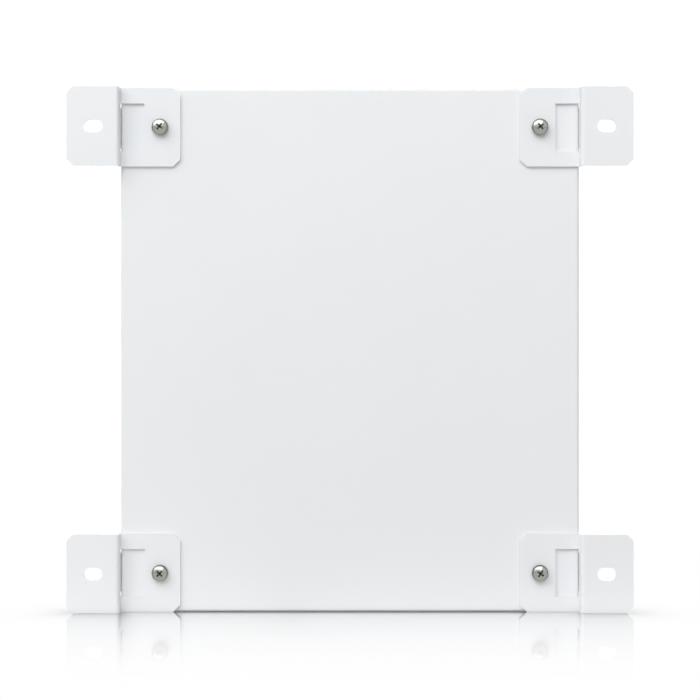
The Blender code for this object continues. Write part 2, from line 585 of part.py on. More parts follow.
def antenna_leads(finish):
    """Coaxial leads from the board, round the plate's edge, to each element."""
    top = ANTENNA_PLATE_TOP
    edge_x = ANTENNA_PLATE_HALF[0]
    for index, (x, up) in enumerate(ELEMENT_PLACES, 1):
        side = 1 if x > 0 else -1
        start_up = up * 0.35
        z0, z1 = MID_Z + start_up, MID_Z + up
        points = [Vector(p) for p in (
            (side * (edge_x + 9 * MM), PART_Y + 0.9 * MM, z0),
            (side * (edge_x + 9.5 * MM), PART_Y + 6 * MM, z0),
            (side * (edge_x + 8 * MM), top - 4 * MM, z0 + 0.3 * (z1 - z0)),
            (side * (edge_x + 3 * MM), top + 1.8 * MM, z0 + 0.7 * (z1 - z0)),
            (side * (edge_x - 6 * MM), top + 1.3 * MM, z1),
            (x + side * 2.6 * MM, top + 1.3 * MM, z1 - 2 * MM),
        )]
        route = smooth_route(points, 4)
        curve = bpy.data.curves.new(f"antenna_lead_{index}", "CURVE")
        curve.dimensions = "3D"
        curve.bevel_depth = LEAD_RADIUS
        curve.bevel_resolution = 2
        curve.use_fill_caps = True
        spline = curve.splines.new("POLY")
        spline.points.add(len(route) - 1)
        for point, place in zip(spline.points, route):
            point.co = (*place, 1.0)
        curve.materials.append(finish)
        bpy.context.collection.objects.link(bpy.data.objects.new(f"antenna_lead_{index}", curve))


def main():
    for old in list(bpy.data.objects):
        bpy.data.objects.remove(old)
    coat = material("white_powder_coat", (0.82, 0.83, 0.84), 0.45)
    plastic = material("white_plastic", (0.84, 0.84, 0.83), 0.4)
    plated = material("nickel_plated_steel", (0.62, 0.61, 0.58), 0.25, 1.0)
    zinc = material("zinc_plated_steel", (0.66, 0.68, 0.7), 0.4, 1.0)
    brass = material("brass", (0.78, 0.6, 0.3), 0.35, 1.0)
    aluminium = material("aluminium", (0.8, 0.81, 0.82), 0.4, 1.0)
    tin = material("tin_plate", (0.75, 0.75, 0.74), 0.3, 1.0)
    mask = material("solder_mask", (0.02, 0.12, 0.06), 0.35)
    pad = material("thermal_pad", (0.45, 0.5, 0.56), 0.8)
    seal = material("seal_rubber", (0.1, 0.1, 0.11), 0.7)
    dark = material("black_plastic", (0.03, 0.03, 0.035), 0.45)
    sleeve = material("capacitor_sleeve", (0.06, 0.07, 0.12), 0.4)
    copper = material("copper_winding", (0.7, 0.32, 0.16), 0.35, 1.0)
    cable = material("cable_jacket", (0.12, 0.12, 0.13), 0.5)
    clear = material("clear_plastic", (0.9, 0.93, 0.95), 0.15, 0.0, 0.6)

    rear_chassis(coat)
    ears_and_fasteners(coat, plated, zinc)
    rim_gasket(seal)
    front_radome(plastic)
    heat_path(aluminium, pad)
    board_and_fasteners(mask, plated, brass)
    shield_cans(tin)
    ethernet_jacks(dark)
    power_parts(dark, sleeve, copper)
    reset_control(dark, dark)
    status_light(clear, clear)
    antenna_plate(aluminium, plastic)
    antenna_elements(brass)
    antenna_leads(cable)


main()
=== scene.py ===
"""Looks for the access point: fine enclosure, ears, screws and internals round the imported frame.

Shapes are drawn in millimetres and made in metres; materials, lights and the camera are in metres.
The axes are the frame's own: +Z up, the flat rear faces -Y, the radome faces +Y.
"""
import json
import math
import random

import bmesh
import bpy
from mathutils import Matrix, Vector

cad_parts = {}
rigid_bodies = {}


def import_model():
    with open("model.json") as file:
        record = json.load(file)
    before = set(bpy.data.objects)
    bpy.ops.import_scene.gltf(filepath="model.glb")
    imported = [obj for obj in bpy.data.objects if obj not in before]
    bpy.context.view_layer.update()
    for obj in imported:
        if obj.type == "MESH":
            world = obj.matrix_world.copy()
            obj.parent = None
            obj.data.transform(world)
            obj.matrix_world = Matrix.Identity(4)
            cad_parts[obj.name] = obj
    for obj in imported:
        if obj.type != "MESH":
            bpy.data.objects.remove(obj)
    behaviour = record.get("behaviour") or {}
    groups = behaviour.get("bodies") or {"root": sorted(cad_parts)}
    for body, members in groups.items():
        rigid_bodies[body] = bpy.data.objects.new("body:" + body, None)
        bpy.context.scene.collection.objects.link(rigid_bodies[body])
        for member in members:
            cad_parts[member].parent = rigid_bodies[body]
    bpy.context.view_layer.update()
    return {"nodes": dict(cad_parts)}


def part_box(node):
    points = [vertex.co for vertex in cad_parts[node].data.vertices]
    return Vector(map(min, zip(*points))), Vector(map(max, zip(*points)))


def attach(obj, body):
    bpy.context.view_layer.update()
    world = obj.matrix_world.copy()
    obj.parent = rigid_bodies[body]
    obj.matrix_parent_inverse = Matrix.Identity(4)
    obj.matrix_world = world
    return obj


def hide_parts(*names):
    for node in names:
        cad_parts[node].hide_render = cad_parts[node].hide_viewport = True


for old in list(bpy.data.objects):
    bpy.data.objects.remove(old)
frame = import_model()
nodes = frame["nodes"]

MM = 0.001
SHARP_DEG = 30                    # edges sharper than this stay hard


def box_of(node):
    """Low corner, high corner and middle of a CAD node, in millimetres."""
    low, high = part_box(node)
    return low / MM, high / MM, (low + high) / (2 * MM)


# Places read from the frame
PAN_LOW, PAN_HIGH, _ = box_of("rear_chassis")
EAR_LOW, EAR_HIGH, _ = box_of("mount_ear_top_right")
RADOME_LOW, RADOME_HIGH, _ = box_of("front_radome")
BOARD_HIGH = box_of("main_board")[1]
BUTTON_LOW, BUTTON_HIGH, BUTTON_MIDDLE = box_of("reset_button")
HALF_W, MID_Z = PAN_HIGH.x, PAN_HIGH.z / 2
REAR_Y, RIM_Y, WALL_Y, FRONT_Y = PAN_LOW.y, PAN_HIGH.y, EAR_LOW.y, RADOME_HIGH.y
LEVELS = {"top": "mount_ear_top_right", "bottom": "mount_ear_bottom_right"}
SIDES = {"left": -1, "right": 1}

# Sheet metal
FIT_GAP = 0.3
PAN_SHEET, PAN_BEND, PAN_RETURN = 1.2, 1.2, 6.8
EAR_SHEET, EAR_BEND, EAR_EDGE = 1.2, 0.5, 0.2
PLATE_Y = REAR_Y - 0.1 - EAR_SHEET
WEB_X = HALF_W + 0.06
SLOT_X, SLOT_LENGTH, SLOT_WIDTH = 122.4, 9.05, 6.2
WINDOW_INNER_X, WINDOW_HEIGHT = 98.5, 22.8
TAB_WIDTH = 18.5
FLANGE_CHAMFER, PLATE_CHAMFER = 3.0, 3.4
LOCK_Z = MID_Z - 37.6

# Ear screws
SCREW_X = 91.0
SCREW_HOLE = 2.2                  # radius
SCREW_TURNS_DEG = {"top_left": 38, "top_right": 50, "bottom_left": 44, "bottom_right": 35}
SCREW_DOME = 1.7                  # crown radius over head radius

# Radome
RADOME_WALL, RADOME_EDGE, RADOME_DRAFT = 2.2, 6.0, 0.4
CROWN_RISE = 1.4

# Parts inside
LAMP_OFFSET = 6.0                 # from a jack's middle to its lamps
LEG_PITCH = 1.27
BOARD_SEED, CHIP_TRIES, ROW_TRIES = 11, 70, 220
WINDING_TURNS = 24
SCREW_HEAD_INSIDE = 2.0

# Camera, in metres
CAMERA_DISTANCE = 0.812
PICTURE_WIDTH = 0.3362            # across the picture at the pan's rear
SENSOR = 36.0

# Floor, by distance in metres from the object's foot: painted contact shade, mirror weight and painted bounce glow
FLOOR_SHADE = ((0.0, 0.82), (0.003, 0.87), (0.006, 0.905), (0.01, 0.94), (0.015, 0.97), (0.025, 0.99), (0.04, 1.0))
FLOOR_MIRROR = ((0.0, 1.0), (0.012, 0.98), (0.027, 0.85), (0.045, 0.6), (0.078, 0.27), (0.126, 0.07), (0.17, 0.02),
                (0.22, 0.0))
FLOOR_BOUNCE = ((0.0, 0.8), (0.002, 0.92), (0.02, 0.68), (0.06, 0.5), (0.2, 0.43))

# Surroundings, and lights: azimuth and elevation in degrees, distance, width and height in metres, radiance
GLOSS_BELOW, GLOSS_FRONT = 1.41, 0.6
AMBIENT_SIDE, AMBIENT_FRONT, AMBIENT_ZENITH = 0.05, 0.5, 0.7
LIGHTS = {"key": (-21, 46, 3.0, 4.6, 2.4, 2.72), "left": (-62, 34, 3.0, 2.0, 2.2, 0.75),
          "back": (165, 25, 3.0, 2.4, 1.6, 4.3)}
SKY = (-8, 40, 0.3, 0.3, 0.12, 0.1)


def make_camera():
    data = bpy.data.cameras.new("camera")
    data.sensor_width = SENSOR
    data.lens = SENSOR * CAMERA_DISTANCE / PICTURE_WIDTH
    data.clip_end = 200
    camera = linked("camera", data)
    camera.location = (0, REAR_Y * MM - CAMERA_DISTANCE, MID_Z * MM)
    camera.rotation_euler = (math.radians(90), 0, 0)
    bpy.context.scene.camera = camera


# Materials

class Nodes:
    """Short forms for building a node tree. A value is a number, a colour or another node's output."""

    def __init__(self, owner, clear=True):
        owner.use_nodes = True
        self.tree = owner.node_tree
        if clear:
            self.tree.nodes.clear()

    def put(self, socket, value):
        if isinstance(value, bpy.types.NodeSocket):
            self.tree.links.new(value, socket)
        else:
            socket.default_value = value

    def add(self, kind, output=0, settings=None, **values):
        made = self.tree.nodes.new("ShaderNode" + kind)
        for key, value in (settings or {}).items():
            setattr(made, key, value)
        for key, value in values.items():
            self.put(made.inputs[key.replace("_", " ")], value)
        return made.outputs[output]

    def in_order(self, kind, values, **settings):
        """Node whose first inputs take the values in turn."""
        output = self.add(kind, 0, settings)
        for socket, value in zip(output.node.inputs, values):
            self.put(socket, value)
        return output

    def math(self, operation, *values):
        return self.in_order("Math", values, operation=operation)

    def mix(self, factor, first, second):
        return self.in_order("MixShader", (factor, first, second))

    def remap(self, value, low, high, start=0.3, end=0.7):
        return self.add("MapRange", "Result", Value=value, From_Min=start, From_Max=end, To_Min=low, To_Max=high)

    def curve(self, value, stops):
        """Piecewise-linear number from (value, number) stops."""
        span = stops[-1][0]
        part = self.math("MINIMUM", self.math("DIVIDE", value, span), 1.0)
        output = self.add("FloatCurve", 0, Value=part)
        mapping = output.node.mapping
        points = mapping.curves[0].points
        while len(points) < len(stops):
            points.new(0.5, 0.5)
        for point, (place, number) in zip(points, stops):
            point.location = (place / span, number)
            point.handle_type = "VECTOR"
        mapping.update()
        return output

    def finish(self, kind, surface):
        self.put(self.tree.nodes.new(kind).inputs["Surface"], surface)


class Shader(Nodes):
    """Principled material with a few textures. All coordinates are the object's own, in metres."""

    def __init__(self, name, colour, roughness, metallic=0.0, **constants):
        self.material = bpy.data.materials.new(name)
        super().__init__(self.material, clear=False)
        self.inputs = self.tree.nodes["Principled BSDF"].inputs
        constants.update(Base_Color=(*colour, 1), Roughness=roughness, Metallic=metallic)
        for key, value in constants.items():
            self.inputs[key.replace("_", " ")].default_value = value
        self.place = self.add("TexCoord", "Object")
        self.normal = None

    def mapped(self, scale=(1, 1, 1)):
        return self.add("Mapping", "Vector", Scale=scale, Vector=self.place)

    def noise(self, scale, detail=2.0, rough=0.5, stretch=(1, 1, 1)):
        return self.add("TexNoise", "Fac", Scale=scale, Detail=detail, Roughness=rough, Vector=self.mapped(stretch))

    def wave(self, scale, distortion, **settings):
        return self.add("TexWave", "Fac", settings, Scale=scale, Distortion=distortion, Vector=self.mapped())

    def vary_colour(self, factor, other):
        """Blend from the colour so far to another by a 0 to 1 factor."""
        socket = self.inputs["Base Color"]
        before = socket.links[0].from_socket if socket.is_linked else tuple(socket.default_value)
        self.put(socket, self.add("Mix", "Result", {"data_type": "RGBA"}, A=before, B=(*other, 1), Factor=factor))
        return self

    def vary_roughness(self, factor, low, high):
        self.put(self.inputs["Roughness"], self.remap(factor, low, high))
        return self

    def bump(self, height, distance, strength=1.0):
        under = {"Normal": self.normal} if self.normal else {}
        self.normal = self.add("Bump", "Normal", Distance=distance, Strength=strength, Height=height, **under)
        self.put(self.inputs["Normal"], self.normal)
        return self


def powder_coat():
    """Satin white powder coat: fine orange peel over slow unevenness in tone and sheen."""
    coat = Shader("powder_coat", (0.805, 0.815, 0.83), 0.42)
    slow, peel, speck = coat.noise(14, 2), coat.noise(900, 2, 0.55), coat.noise(4200, 1)
    coat.vary_colour(coat.remap(slow, 0, 1), (0.79, 0.805, 0.822))
    coat.vary_colour(coat.remap(speck, 0, 0.25, 0.55, 0.8), (0.86, 0.865, 0.87))
    coat.vary_roughness(peel, 0.38, 0.47)
    coat.bump(peel, 0.012 * MM, 0.5).bump(speck, 0.003 * MM, 0.4)
    return coat.material


def moulded(name, colour, roughness, other, grain, depth):
    """Moulded plastic with a spark-eroded grain."""
    made = Shader(name, colour, roughness)
    grain_value = made.noise(grain, 3, 0.6)
    made.vary_colour(made.remap(made.noise(22, 2), 0, 1), other)
    made.vary_roughness(grain_value, roughness * 0.88, roughness * 1.15)
    made.bump(grain_value, depth * MM, 0.7)
    return made.material


def plated(name, colour, roughness, other, turned=False):
    """Plated metal with a slight blotch and fine drawing or turning lines."""
    made = Shader(name, colour, roughness, 1.0)
    blotch = made.noise(180, 3, 0.6)
    made.vary_colour(made.remap(blotch, 0, 0.6), other)
    if turned:
        lines = made.wave(2600, 1.5, wave_type="RINGS", rings_direction="Y")
    else:
        lines = made.noise(700, 2, 0.5, (1, 1, 14))
    made.vary_roughness(blotch, roughness * 0.85, roughness * 1.18)
    made.bump(lines, 0.0012 * MM, 0.4).bump(blotch, 0.002 * MM, 0.2)
    return made.material


def screw_metal_painted_shade(height, dome):
    """Dull nickel with faint turning rings, a painted shade darkening the rolled edge except where it faces down, and a
    painted shadow in the cross recess.
    """
    made = Shader("dull_nickel_painted_shade", (0.252, 0.26, 0.237), 0.15, 1.0)
    radius = made.add("VectorMath", "Value", {"operation": "LENGTH"}, Vector=made.mapped((1, 0, 1)))
    along = made.add("SeparateXYZ", "Y", Vector=made.place)
    up = made.add("SeparateXYZ", "Z", Vector=made.add("NewGeometry", "Normal"))
    blotch = made.noise(900, 3, 0.6)
    made.vary_colour(made.remap(blotch, 0, 0.6), (0.235, 0.243, 0.22))
    # Painted shade: the rolled edge is darkened by colour where it faces up or sideways, not where it faces down.
    rim = made.math("MULTIPLY", made.remap(radius, 0, 0.8, 3.1 * MM, 3.75 * MM), made.remap(up, 0.0, 1.0, -0.75, -0.2))
    made.vary_colour(rim, (0.09, 0.093, 0.085))
    # Painted shadow: the cross recess is darkened by colour where it lies below the crown.
    crown = made.math("SUBTRACT", made.math("DIVIDE", made.math("POWER", radius, 2.0), 2.0 * dome), height)
    depth = made.remap(made.math("SUBTRACT", along, crown), 0, 0.7, 0.08 * MM, 0.5 * MM)
    inside = made.remap(radius, 1.0, 0.0, 2.1 * MM, 2.3 * MM)
    made.vary_colour(made.math("MULTIPLY", depth, inside), (0.05, 0.052, 0.048))
    made.vary_roughness(blotch, 0.11, 0.19)
    rings = made.math("SINE", made.math("MULTIPLY", radius, 60000.0))
    made.bump(rings, 0.0006 * MM, 0.5).bump(blotch, 0.003 * MM, 0.3)
    return made.material


def solder_mask():
    """Green solder mask over traces, with pale printed lines left out."""
    made = Shader("solder_mask", (0.012, 0.095, 0.045), 0.3, Coat_Weight=0.35)
    flat = made.add("Mapping", 0, Rotation=(math.radians(90), 0, 0), Vector=made.place)
    traces = made.add("TexBrick", "Fac", {"offset": 0.37, "squash": 0.6, "squash_frequency": 3}, Scale=95,
                      Mortar_Size=0.035, Brick_Width=0.9, Row_Height=0.16, Vector=flat)
    made.vary_colour(made.remap(made.noise(30, 2), 0, 1), (0.01, 0.075, 0.04))
    made.vary_colour(made.remap(traces, 0, 0.55, 0, 1), (0.03, 0.19, 0.085))
    made.bump(traces, 0.03 * MM, 0.6).bump(made.noise(1500, 2), 0.004 * MM, 0.4)
    return made.material


def frosted(name, colour, roughness, other, blotch, sheen, gloss, grain, depth, **constants):
    """Light-passing plastic with a faint milky flow."""
    made = Shader(name, colour, roughness, **constants)
    made.vary_colour(made.remap(made.noise(blotch, 2), 0, 1), other)
    made.vary_roughness(made.noise(sheen, 2), *gloss)
    made.bump(made.noise(grain, 2), depth * MM, 0.5)
    return made.material


def wound_tape():
    """Yellow polyester tape in overlapping turns."""
    made = Shader("winding_tape", (0.72, 0.5, 0.09), 0.35)
    turns = made.wave(90, 0.6, bands_direction="Z")
    made.vary_colour(made.remap(turns, 0, 0.6), (0.6, 0.38, 0.05))
    made.vary_roughness(made.noise(600, 2), 0.28, 0.42)
    made.bump(turns, 0.03 * MM, 0.5)
    return made.material


FINISHES = {}                     # material and slot of every finish


def make_finishes():
    FINISHES["coat"] = powder_coat(), "powder_coated_steel"
    for key, name, slot, colour, roughness, other, grain, depth in (
            ("white", "radome_plastic", "white_plastic", (0.8, 0.8, 0.795), 0.42, (0.775, 0.775, 0.77), 1500, 0.012),
            ("black", "black_plastic", "black_plastic", (0.022, 0.022, 0.024), 0.42, (0.035, 0.035, 0.037), 2600, 0.01),
            ("rubber", "seal_rubber", "seal_rubber", (0.035, 0.035, 0.038), 0.68, (0.055, 0.055, 0.056), 3200, 0.02),
            ("sleeve", "capacitor_sleeve", "capacitor_sleeve", (0.03, 0.035, 0.075), 0.32, (0.04, 0.048, 0.1),
             900, 0.006),
            ("jacket", "lead_jacket", None, (0.03, 0.03, 0.033), 0.45, (0.05, 0.05, 0.053), 2200, 0.01),
            ("pad", "thermal_pad", None, (0.32, 0.4, 0.48), 0.8, (0.26, 0.34, 0.43), 800, 0.03),
            ("ceramic", "chip_ceramic", "thermal_pad", (0.36, 0.24, 0.13), 0.45, (0.28, 0.18, 0.1), 1500, 0.006)):
        FINISHES[key] = moulded(name, colour, roughness, other, grain, depth), slot
    for key, name, slot, colour, roughness, other in (
            ("tin", "tin_plate", "tin_plate", (0.66, 0.66, 0.65), 0.28, (0.56, 0.56, 0.555)),
            ("zinc", "zinc_plate", "zinc_plated_steel", (0.56, 0.58, 0.6), 0.38, (0.46, 0.48, 0.5)),
            ("brass", "brass", "brass", (0.72, 0.5, 0.2), 0.3, (0.6, 0.4, 0.15)),
            ("gold", "gold_flash", "brass", (0.9, 0.68, 0.28), 0.22, (0.8, 0.57, 0.2)),
            ("aluminium", "aluminium", "aluminium", (0.7, 0.71, 0.72), 0.38, (0.6, 0.61, 0.62)),
            ("copper", "copper_winding", "copper_winding", (0.62, 0.25, 0.1), 0.28, (0.5, 0.18, 0.07)),
            ("ferrite", "ferrite", "black_plastic", (0.05, 0.05, 0.055), 0.5, (0.075, 0.075, 0.08)),
            ("nickel", "nickel_plate", "nickel_plated_steel", (0.55, 0.54, 0.51), 0.26, (0.46, 0.45, 0.43))):
        FINISHES[key] = plated(name, colour, roughness, other, key in ("zinc", "nickel")), slot
    clear = frosted("clear_plastic", (0.9, 0.93, 0.95), 0.22, (0.8, 0.85, 0.88), 120, 900, (0.16, 0.3), 1400, 0.006,
                    Transmission_Weight=0.55, IOR=1.49)
    milky = frosted("milky_plastic", (0.7, 0.78, 0.83), 0.3, (0.64, 0.73, 0.79), 300, 1200, (0.24, 0.36), 1600, 0.004,
                    Coat_Weight=0.3)
    FINISHES.update(clear=(clear, "clear_plastic"), milky=(milky, "clear_plastic"), mask=(solder_mask(), None),
                    tape=(wound_tape(), "copper_winding"))


# Mesh tools

def mesh_from(bm):
    mesh = bpy.data.meshes.new("mesh")
    bm.to_mesh(mesh)
    bm.free()
    return mesh


def linked(name, data):
    made = bpy.data.objects.new(name, data)
    bpy.context.scene.collection.objects.link(made)
    return made


def loft(rings, closed=False):
    """Skin through rings of equal length; ends are capped, or joined to each other when closed."""
    bm = bmesh.new()
    loops = [[bm.verts.new(Vector(point) * MM) for point in ring] for ring in rings]
    pairs = list(zip(loops, loops[1:]))
    if closed:
        pairs.append((loops[-1], loops[0]))
    else:
        bm.faces.new(loops[0])
        bm.faces.new(loops[-1])
    count = len(rings[0])
    for near, far in pairs:
        for index in range(count):
            after = (index + 1) % count
            bm.faces.new((near[index], near[after], far[after], far[index]))
    bmesh.ops.recalc_face_normals(bm, faces=bm.faces)
    return mesh_from(bm)


def prism(outline, low, high, axis):
    """Outline (u, v) drawn across an axis and extruded from low to high along it."""
    place = {"X": lambda u, v, w: (w, u, v), "Y": lambda u, v, w: (u, w, v), "Z": lambda u, v, w: (u, v, w)}[axis]
    return loft([[place(u, v, w) for u, v in outline] for w in (low, high)])


def box_mesh(low, high):
    return prism([(low[0], low[1]), (high[0], low[1]), (high[0], high[1]), (low[0], high[1])], low[2], high[2], "Z")


def turned(profile, centre=(0, 0, 0), axis="Y", sides=64, closed=False):
    """Solid of revolution from (radius, along) pairs; a closed profile makes a tube."""
    rings = []
    for radius, along in profile:
        ring = []
        for index in range(sides):
            angle = 2 * math.pi * (index + 0.5) / sides
            u, v = radius * math.cos(angle), radius * math.sin(angle)
            ring.append([c + o for c, o in zip(centre, (along, u, v) if axis == "X" else (u, along, v))])
        rings.append(ring)
    return loft(rings, closed)


def bore(radius, low, high, centre, axis="Y", sides=32):
    return turned([(radius, low), (radius, high)], centre, axis, sides)


def rounded_ring(half_x, half_z, radius, y, segments=10, middle=(0, MID_Z)):
    """Rounded rectangle in the plane y, round a middle (x, z)."""
    points = []
    for quarter, (side_x, side_z) in enumerate(((1, 1), (-1, 1), (-1, -1), (1, -1))):
        for step in range(segments + 1):
            angle = math.pi / 2 * (quarter + step / segments)
            x = side_x * (half_x - radius) + radius * math.cos(angle)
            z = side_z * (half_z - radius) + radius * math.sin(angle)
            points.append((middle[0] + x, y, middle[1] + z))
    return points


def rounded_prism(half_u, half_v, radius, segments, middle, low, high, axis="Y"):
    return prism([(u, v) for u, _, v in rounded_ring(half_u, half_v, radius, 0, segments, middle)], low, high, axis)


def arc(centre, radius, start_deg, end_deg, steps=12):
    angles = [math.radians(start_deg + (end_deg - start_deg) * i / steps) for i in range(steps + 1)]
    return [(centre[0] + radius * math.cos(a), centre[1] + radius * math.sin(a)) for a in angles]


def squarer(value, power):
    """Sine or cosine bent so that a circle drawn with it turns towards a square."""
    return math.copysign(abs(value) ** power, value)


def evaluated(mesh, modify):
    """Mesh after the modifiers that modify(object) adds to a throwaway object."""
    base = linked("base", mesh)
    helpers = [base, *modify(base)]
    bpy.context.view_layer.update()
    result = bpy.data.meshes.new_from_object(base.evaluated_get(bpy.context.evaluated_depsgraph_get()))
    for helper in helpers:
        bpy.data.objects.remove(helper)
    return result


def combine(mesh, tools, operation="DIFFERENCE"):
    def add(base):
        helpers = [linked("tool", tool) for tool in tools]
        for helper in helpers:
            modifier = base.modifiers.new("cut", "BOOLEAN")
            modifier.operation = operation
            modifier.solver = "EXACT"
            modifier.object = helper
        return helpers
    return evaluated(mesh, add)


def joined(meshes):
    """One mesh from several that don't touch."""
    bm = bmesh.new()
    for mesh in meshes:
        bm.from_mesh(mesh)
    return mesh_from(bm)


def placed(x, y, z, turn_deg=0.0):
    """Matrix to a place in millimetres, after a turn about Y."""
    return Matrix.Translation(Vector((x, y, z)) * MM) @ Matrix.Rotation(math.radians(turn_deg), 4, "Y")


def moved(mesh, matrix):
    made = mesh.copy()
    made.transform(matrix)
    return made


def sweep(points, radius, sides=8, closed=False):
    """Round wire along a path."""
    points = [Vector(p) for p in points]
    rings = []
    count = len(points)
    for index, point in enumerate(points):
        before = points[index - 1] if closed or index else point
        after = points[(index + 1) % count] if closed or index < count - 1 else point
        along = (after - before).normalized()
        side = along.cross(Vector((0.31, 0.53, 0.79))).normalized()
        other = along.cross(side)
        turns = [2 * math.pi * step / sides for step in range(sides)]
        rings.append([point + radius * (side * math.cos(t) + other * math.sin(t)) for t in turns])
    return loft(rings, closed)


def rounded(mesh, width, segments=3, limit_deg=32):
    """Mesh with its sharp edges rolled over."""
    def add(base):
        modifier = base.modifiers.new("edge", "BEVEL")
        modifier.width = width * MM
        modifier.segments = segments
        modifier.limit_method = "ANGLE"
        modifier.angle_limit = math.radians(limit_deg)
        modifier.miter_outer = "MITER_ARC"
        return []
    return evaluated(mesh, add)


def piece(name, mesh, finish, replaces=None, body="housing", place=None):
    """Object that rides on a body, in its finish, with smooth shading between sharp edges."""
    material, slot = FINISHES[finish]
    made = linked(name, mesh)
    if place is not None:
        made.matrix_world = place
    mesh.materials.clear()
    mesh.materials.append(material)
    mesh.shade_smooth()
    mesh.set_sharp_from_angle(angle=math.radians(SHARP_DEG))
    made.modifiers.new("normals", "WEIGHTED_NORMAL").keep_sharp = True
    bpy.context.view_layer.update()
    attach(made, body)
    if replaces:
        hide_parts(replaces)


# Rear pan

def rear_pan():
    """Folded pan: rolled rear edges, mitred corner seams, port wall cut-outs and an inward rim."""
    rings = []
    for step in range(9):
        angle = math.pi / 2 * step / 8
        rings.append((PAN_BEND * (1 - math.sin(angle)), PAN_BEND, REAR_Y + PAN_BEND * (1 - math.cos(angle))))
    rings += [(0, PAN_BEND, RIM_Y - 0.4), (0.12, PAN_BEND, RIM_Y - 0.12), (0.4, PAN_BEND, RIM_Y)]
    rings += [(PAN_RETURN, 3, RIM_Y), (PAN_RETURN, 3, RIM_Y - PAN_SHEET)]
    rings += [(PAN_SHEET, 0.4, RIM_Y - PAN_SHEET), (PAN_SHEET, 0.4, REAR_Y + PAN_SHEET)]
    pan = loft([rounded_ring(HALF_W - inset, MID_Z - inset, radius, y) for inset, radius, y in rings])

    cutters = []
    reach = 5
    for index in (1, 2):
        low, high, _ = box_of(f"ethernet_jack_{index}")
        cutters.append(box_mesh((HALF_W - reach, low.y - FIT_GAP, low.z - FIT_GAP),
                                (HALF_W + reach, high.y + FIT_GAP, high.z + FIT_GAP)))
    cutters.append(bore(1.7, HALF_W - reach, HALF_W + reach, (0, BUTTON_MIDDLE.y, BUTTON_MIDDLE.z), "X"))
    cutters.append(rounded_prism(1.5, 3.5, 0.6, 5, (BUTTON_MIDDLE.y, LOCK_Z), HALF_W - reach, HALF_W + reach, "X"))
    seam, seam_in, seam_deep, past = 0.3, 1.6, 0.7, 0.1
    for side in (-1, 1):
        for z in (seam_in, 2 * MID_Z - seam_in):
            x_low, x_high = sorted((side * (HALF_W + past), side * (HALF_W - seam_deep)))
            cutters.append(box_mesh((x_low, REAR_Y + 2.2, z - seam / 2), (x_high, RIM_Y + past, z + seam / 2)))
        for level in LEVELS.values():
            cutters.append(bore(SCREW_HOLE, -reach, reach, (side * SCREW_X, REAR_Y, box_of(level)[2].z)))
    piece("rear_pan", combine(pan, cutters), "coat", "rear_chassis")


# Ears

def ear_mesh():
    """Joggled ear with a slot, a lanced window and its tab, drawn for +X about its own mid-height."""
    bend_out = EAR_BEND + EAR_SHEET
    flange_in = WALL_Y + EAR_SHEET
    half = (EAR_HIGH.z - EAR_LOW.z) / 2
    bend_in = (WEB_X - EAR_BEND, PLATE_Y - EAR_BEND)
    section = [(EAR_LOW.x, PLATE_Y), *arc(bend_in, EAR_BEND, 90, 0, 8)]
    section += arc((WEB_X + bend_out, WALL_Y + bend_out), bend_out, 180, 270)
    section += [(EAR_HIGH.x, WALL_Y), (EAR_HIGH.x, flange_in)]
    section += arc((WEB_X + bend_out, flange_in + EAR_BEND), EAR_BEND, 270, 180, 8)
    section += [*arc(bend_in, bend_out, 0, 90), (EAR_LOW.x, PLATE_Y + EAR_SHEET)]
    blank = prism(section, -half, half, "Z")

    straight_y = PLATE_Y - EAR_BEND
    deep, past = 20, 1
    cutters = [box_mesh((WINDOW_INNER_X, straight_y, -WINDOW_HEIGHT / 2),
                        (WEB_X + 3, REAR_Y + deep, WINDOW_HEIGHT / 2))]
    for end_x, chamfer, inward in ((EAR_HIGH.x, FLANGE_CHAMFER, -1), (EAR_LOW.x, PLATE_CHAMFER, 1)):
        for up in (-1, 1):
            corner = [(end_x - inward * past, up * (half - chamfer - past)),
                      (end_x + inward * (chamfer + past), up * (half + past)),
                      (end_x - inward * past, up * (half + past))]
            cutters.append(prism(corner, WALL_Y - deep, REAR_Y + deep, "Y"))
    straight, radius = (SLOT_LENGTH - SLOT_WIDTH) / 2, SLOT_WIDTH / 2
    slot = arc((SLOT_X + straight, 0), radius, -90, 90, 24) + arc((SLOT_X - straight, 0), radius, 90, 270, 24)
    cutters.append(prism(slot, WALL_Y - deep, REAR_Y + deep, "Y"))
    cutters.append(bore(SCREW_HOLE, -5, 5, (SCREW_X, PLATE_Y, 0)))
    tab = [(straight_y - past, -TAB_WIDTH / 2), (straight_y - past, TAB_WIDTH / 2)]
    tab += arc((EAR_HIGH.y - past, TAB_WIDTH / 2 - past), past, 90, 0, 6)
    tab += arc((EAR_HIGH.y - past, past - TAB_WIDTH / 2), past, 0, -90, 6)
    tab_mesh = prism(tab, WEB_X, WEB_X + EAR_SHEET, "X")
    return rounded(combine(combine(blank, cutters), [tab_mesh], "UNION"), EAR_EDGE, 4)


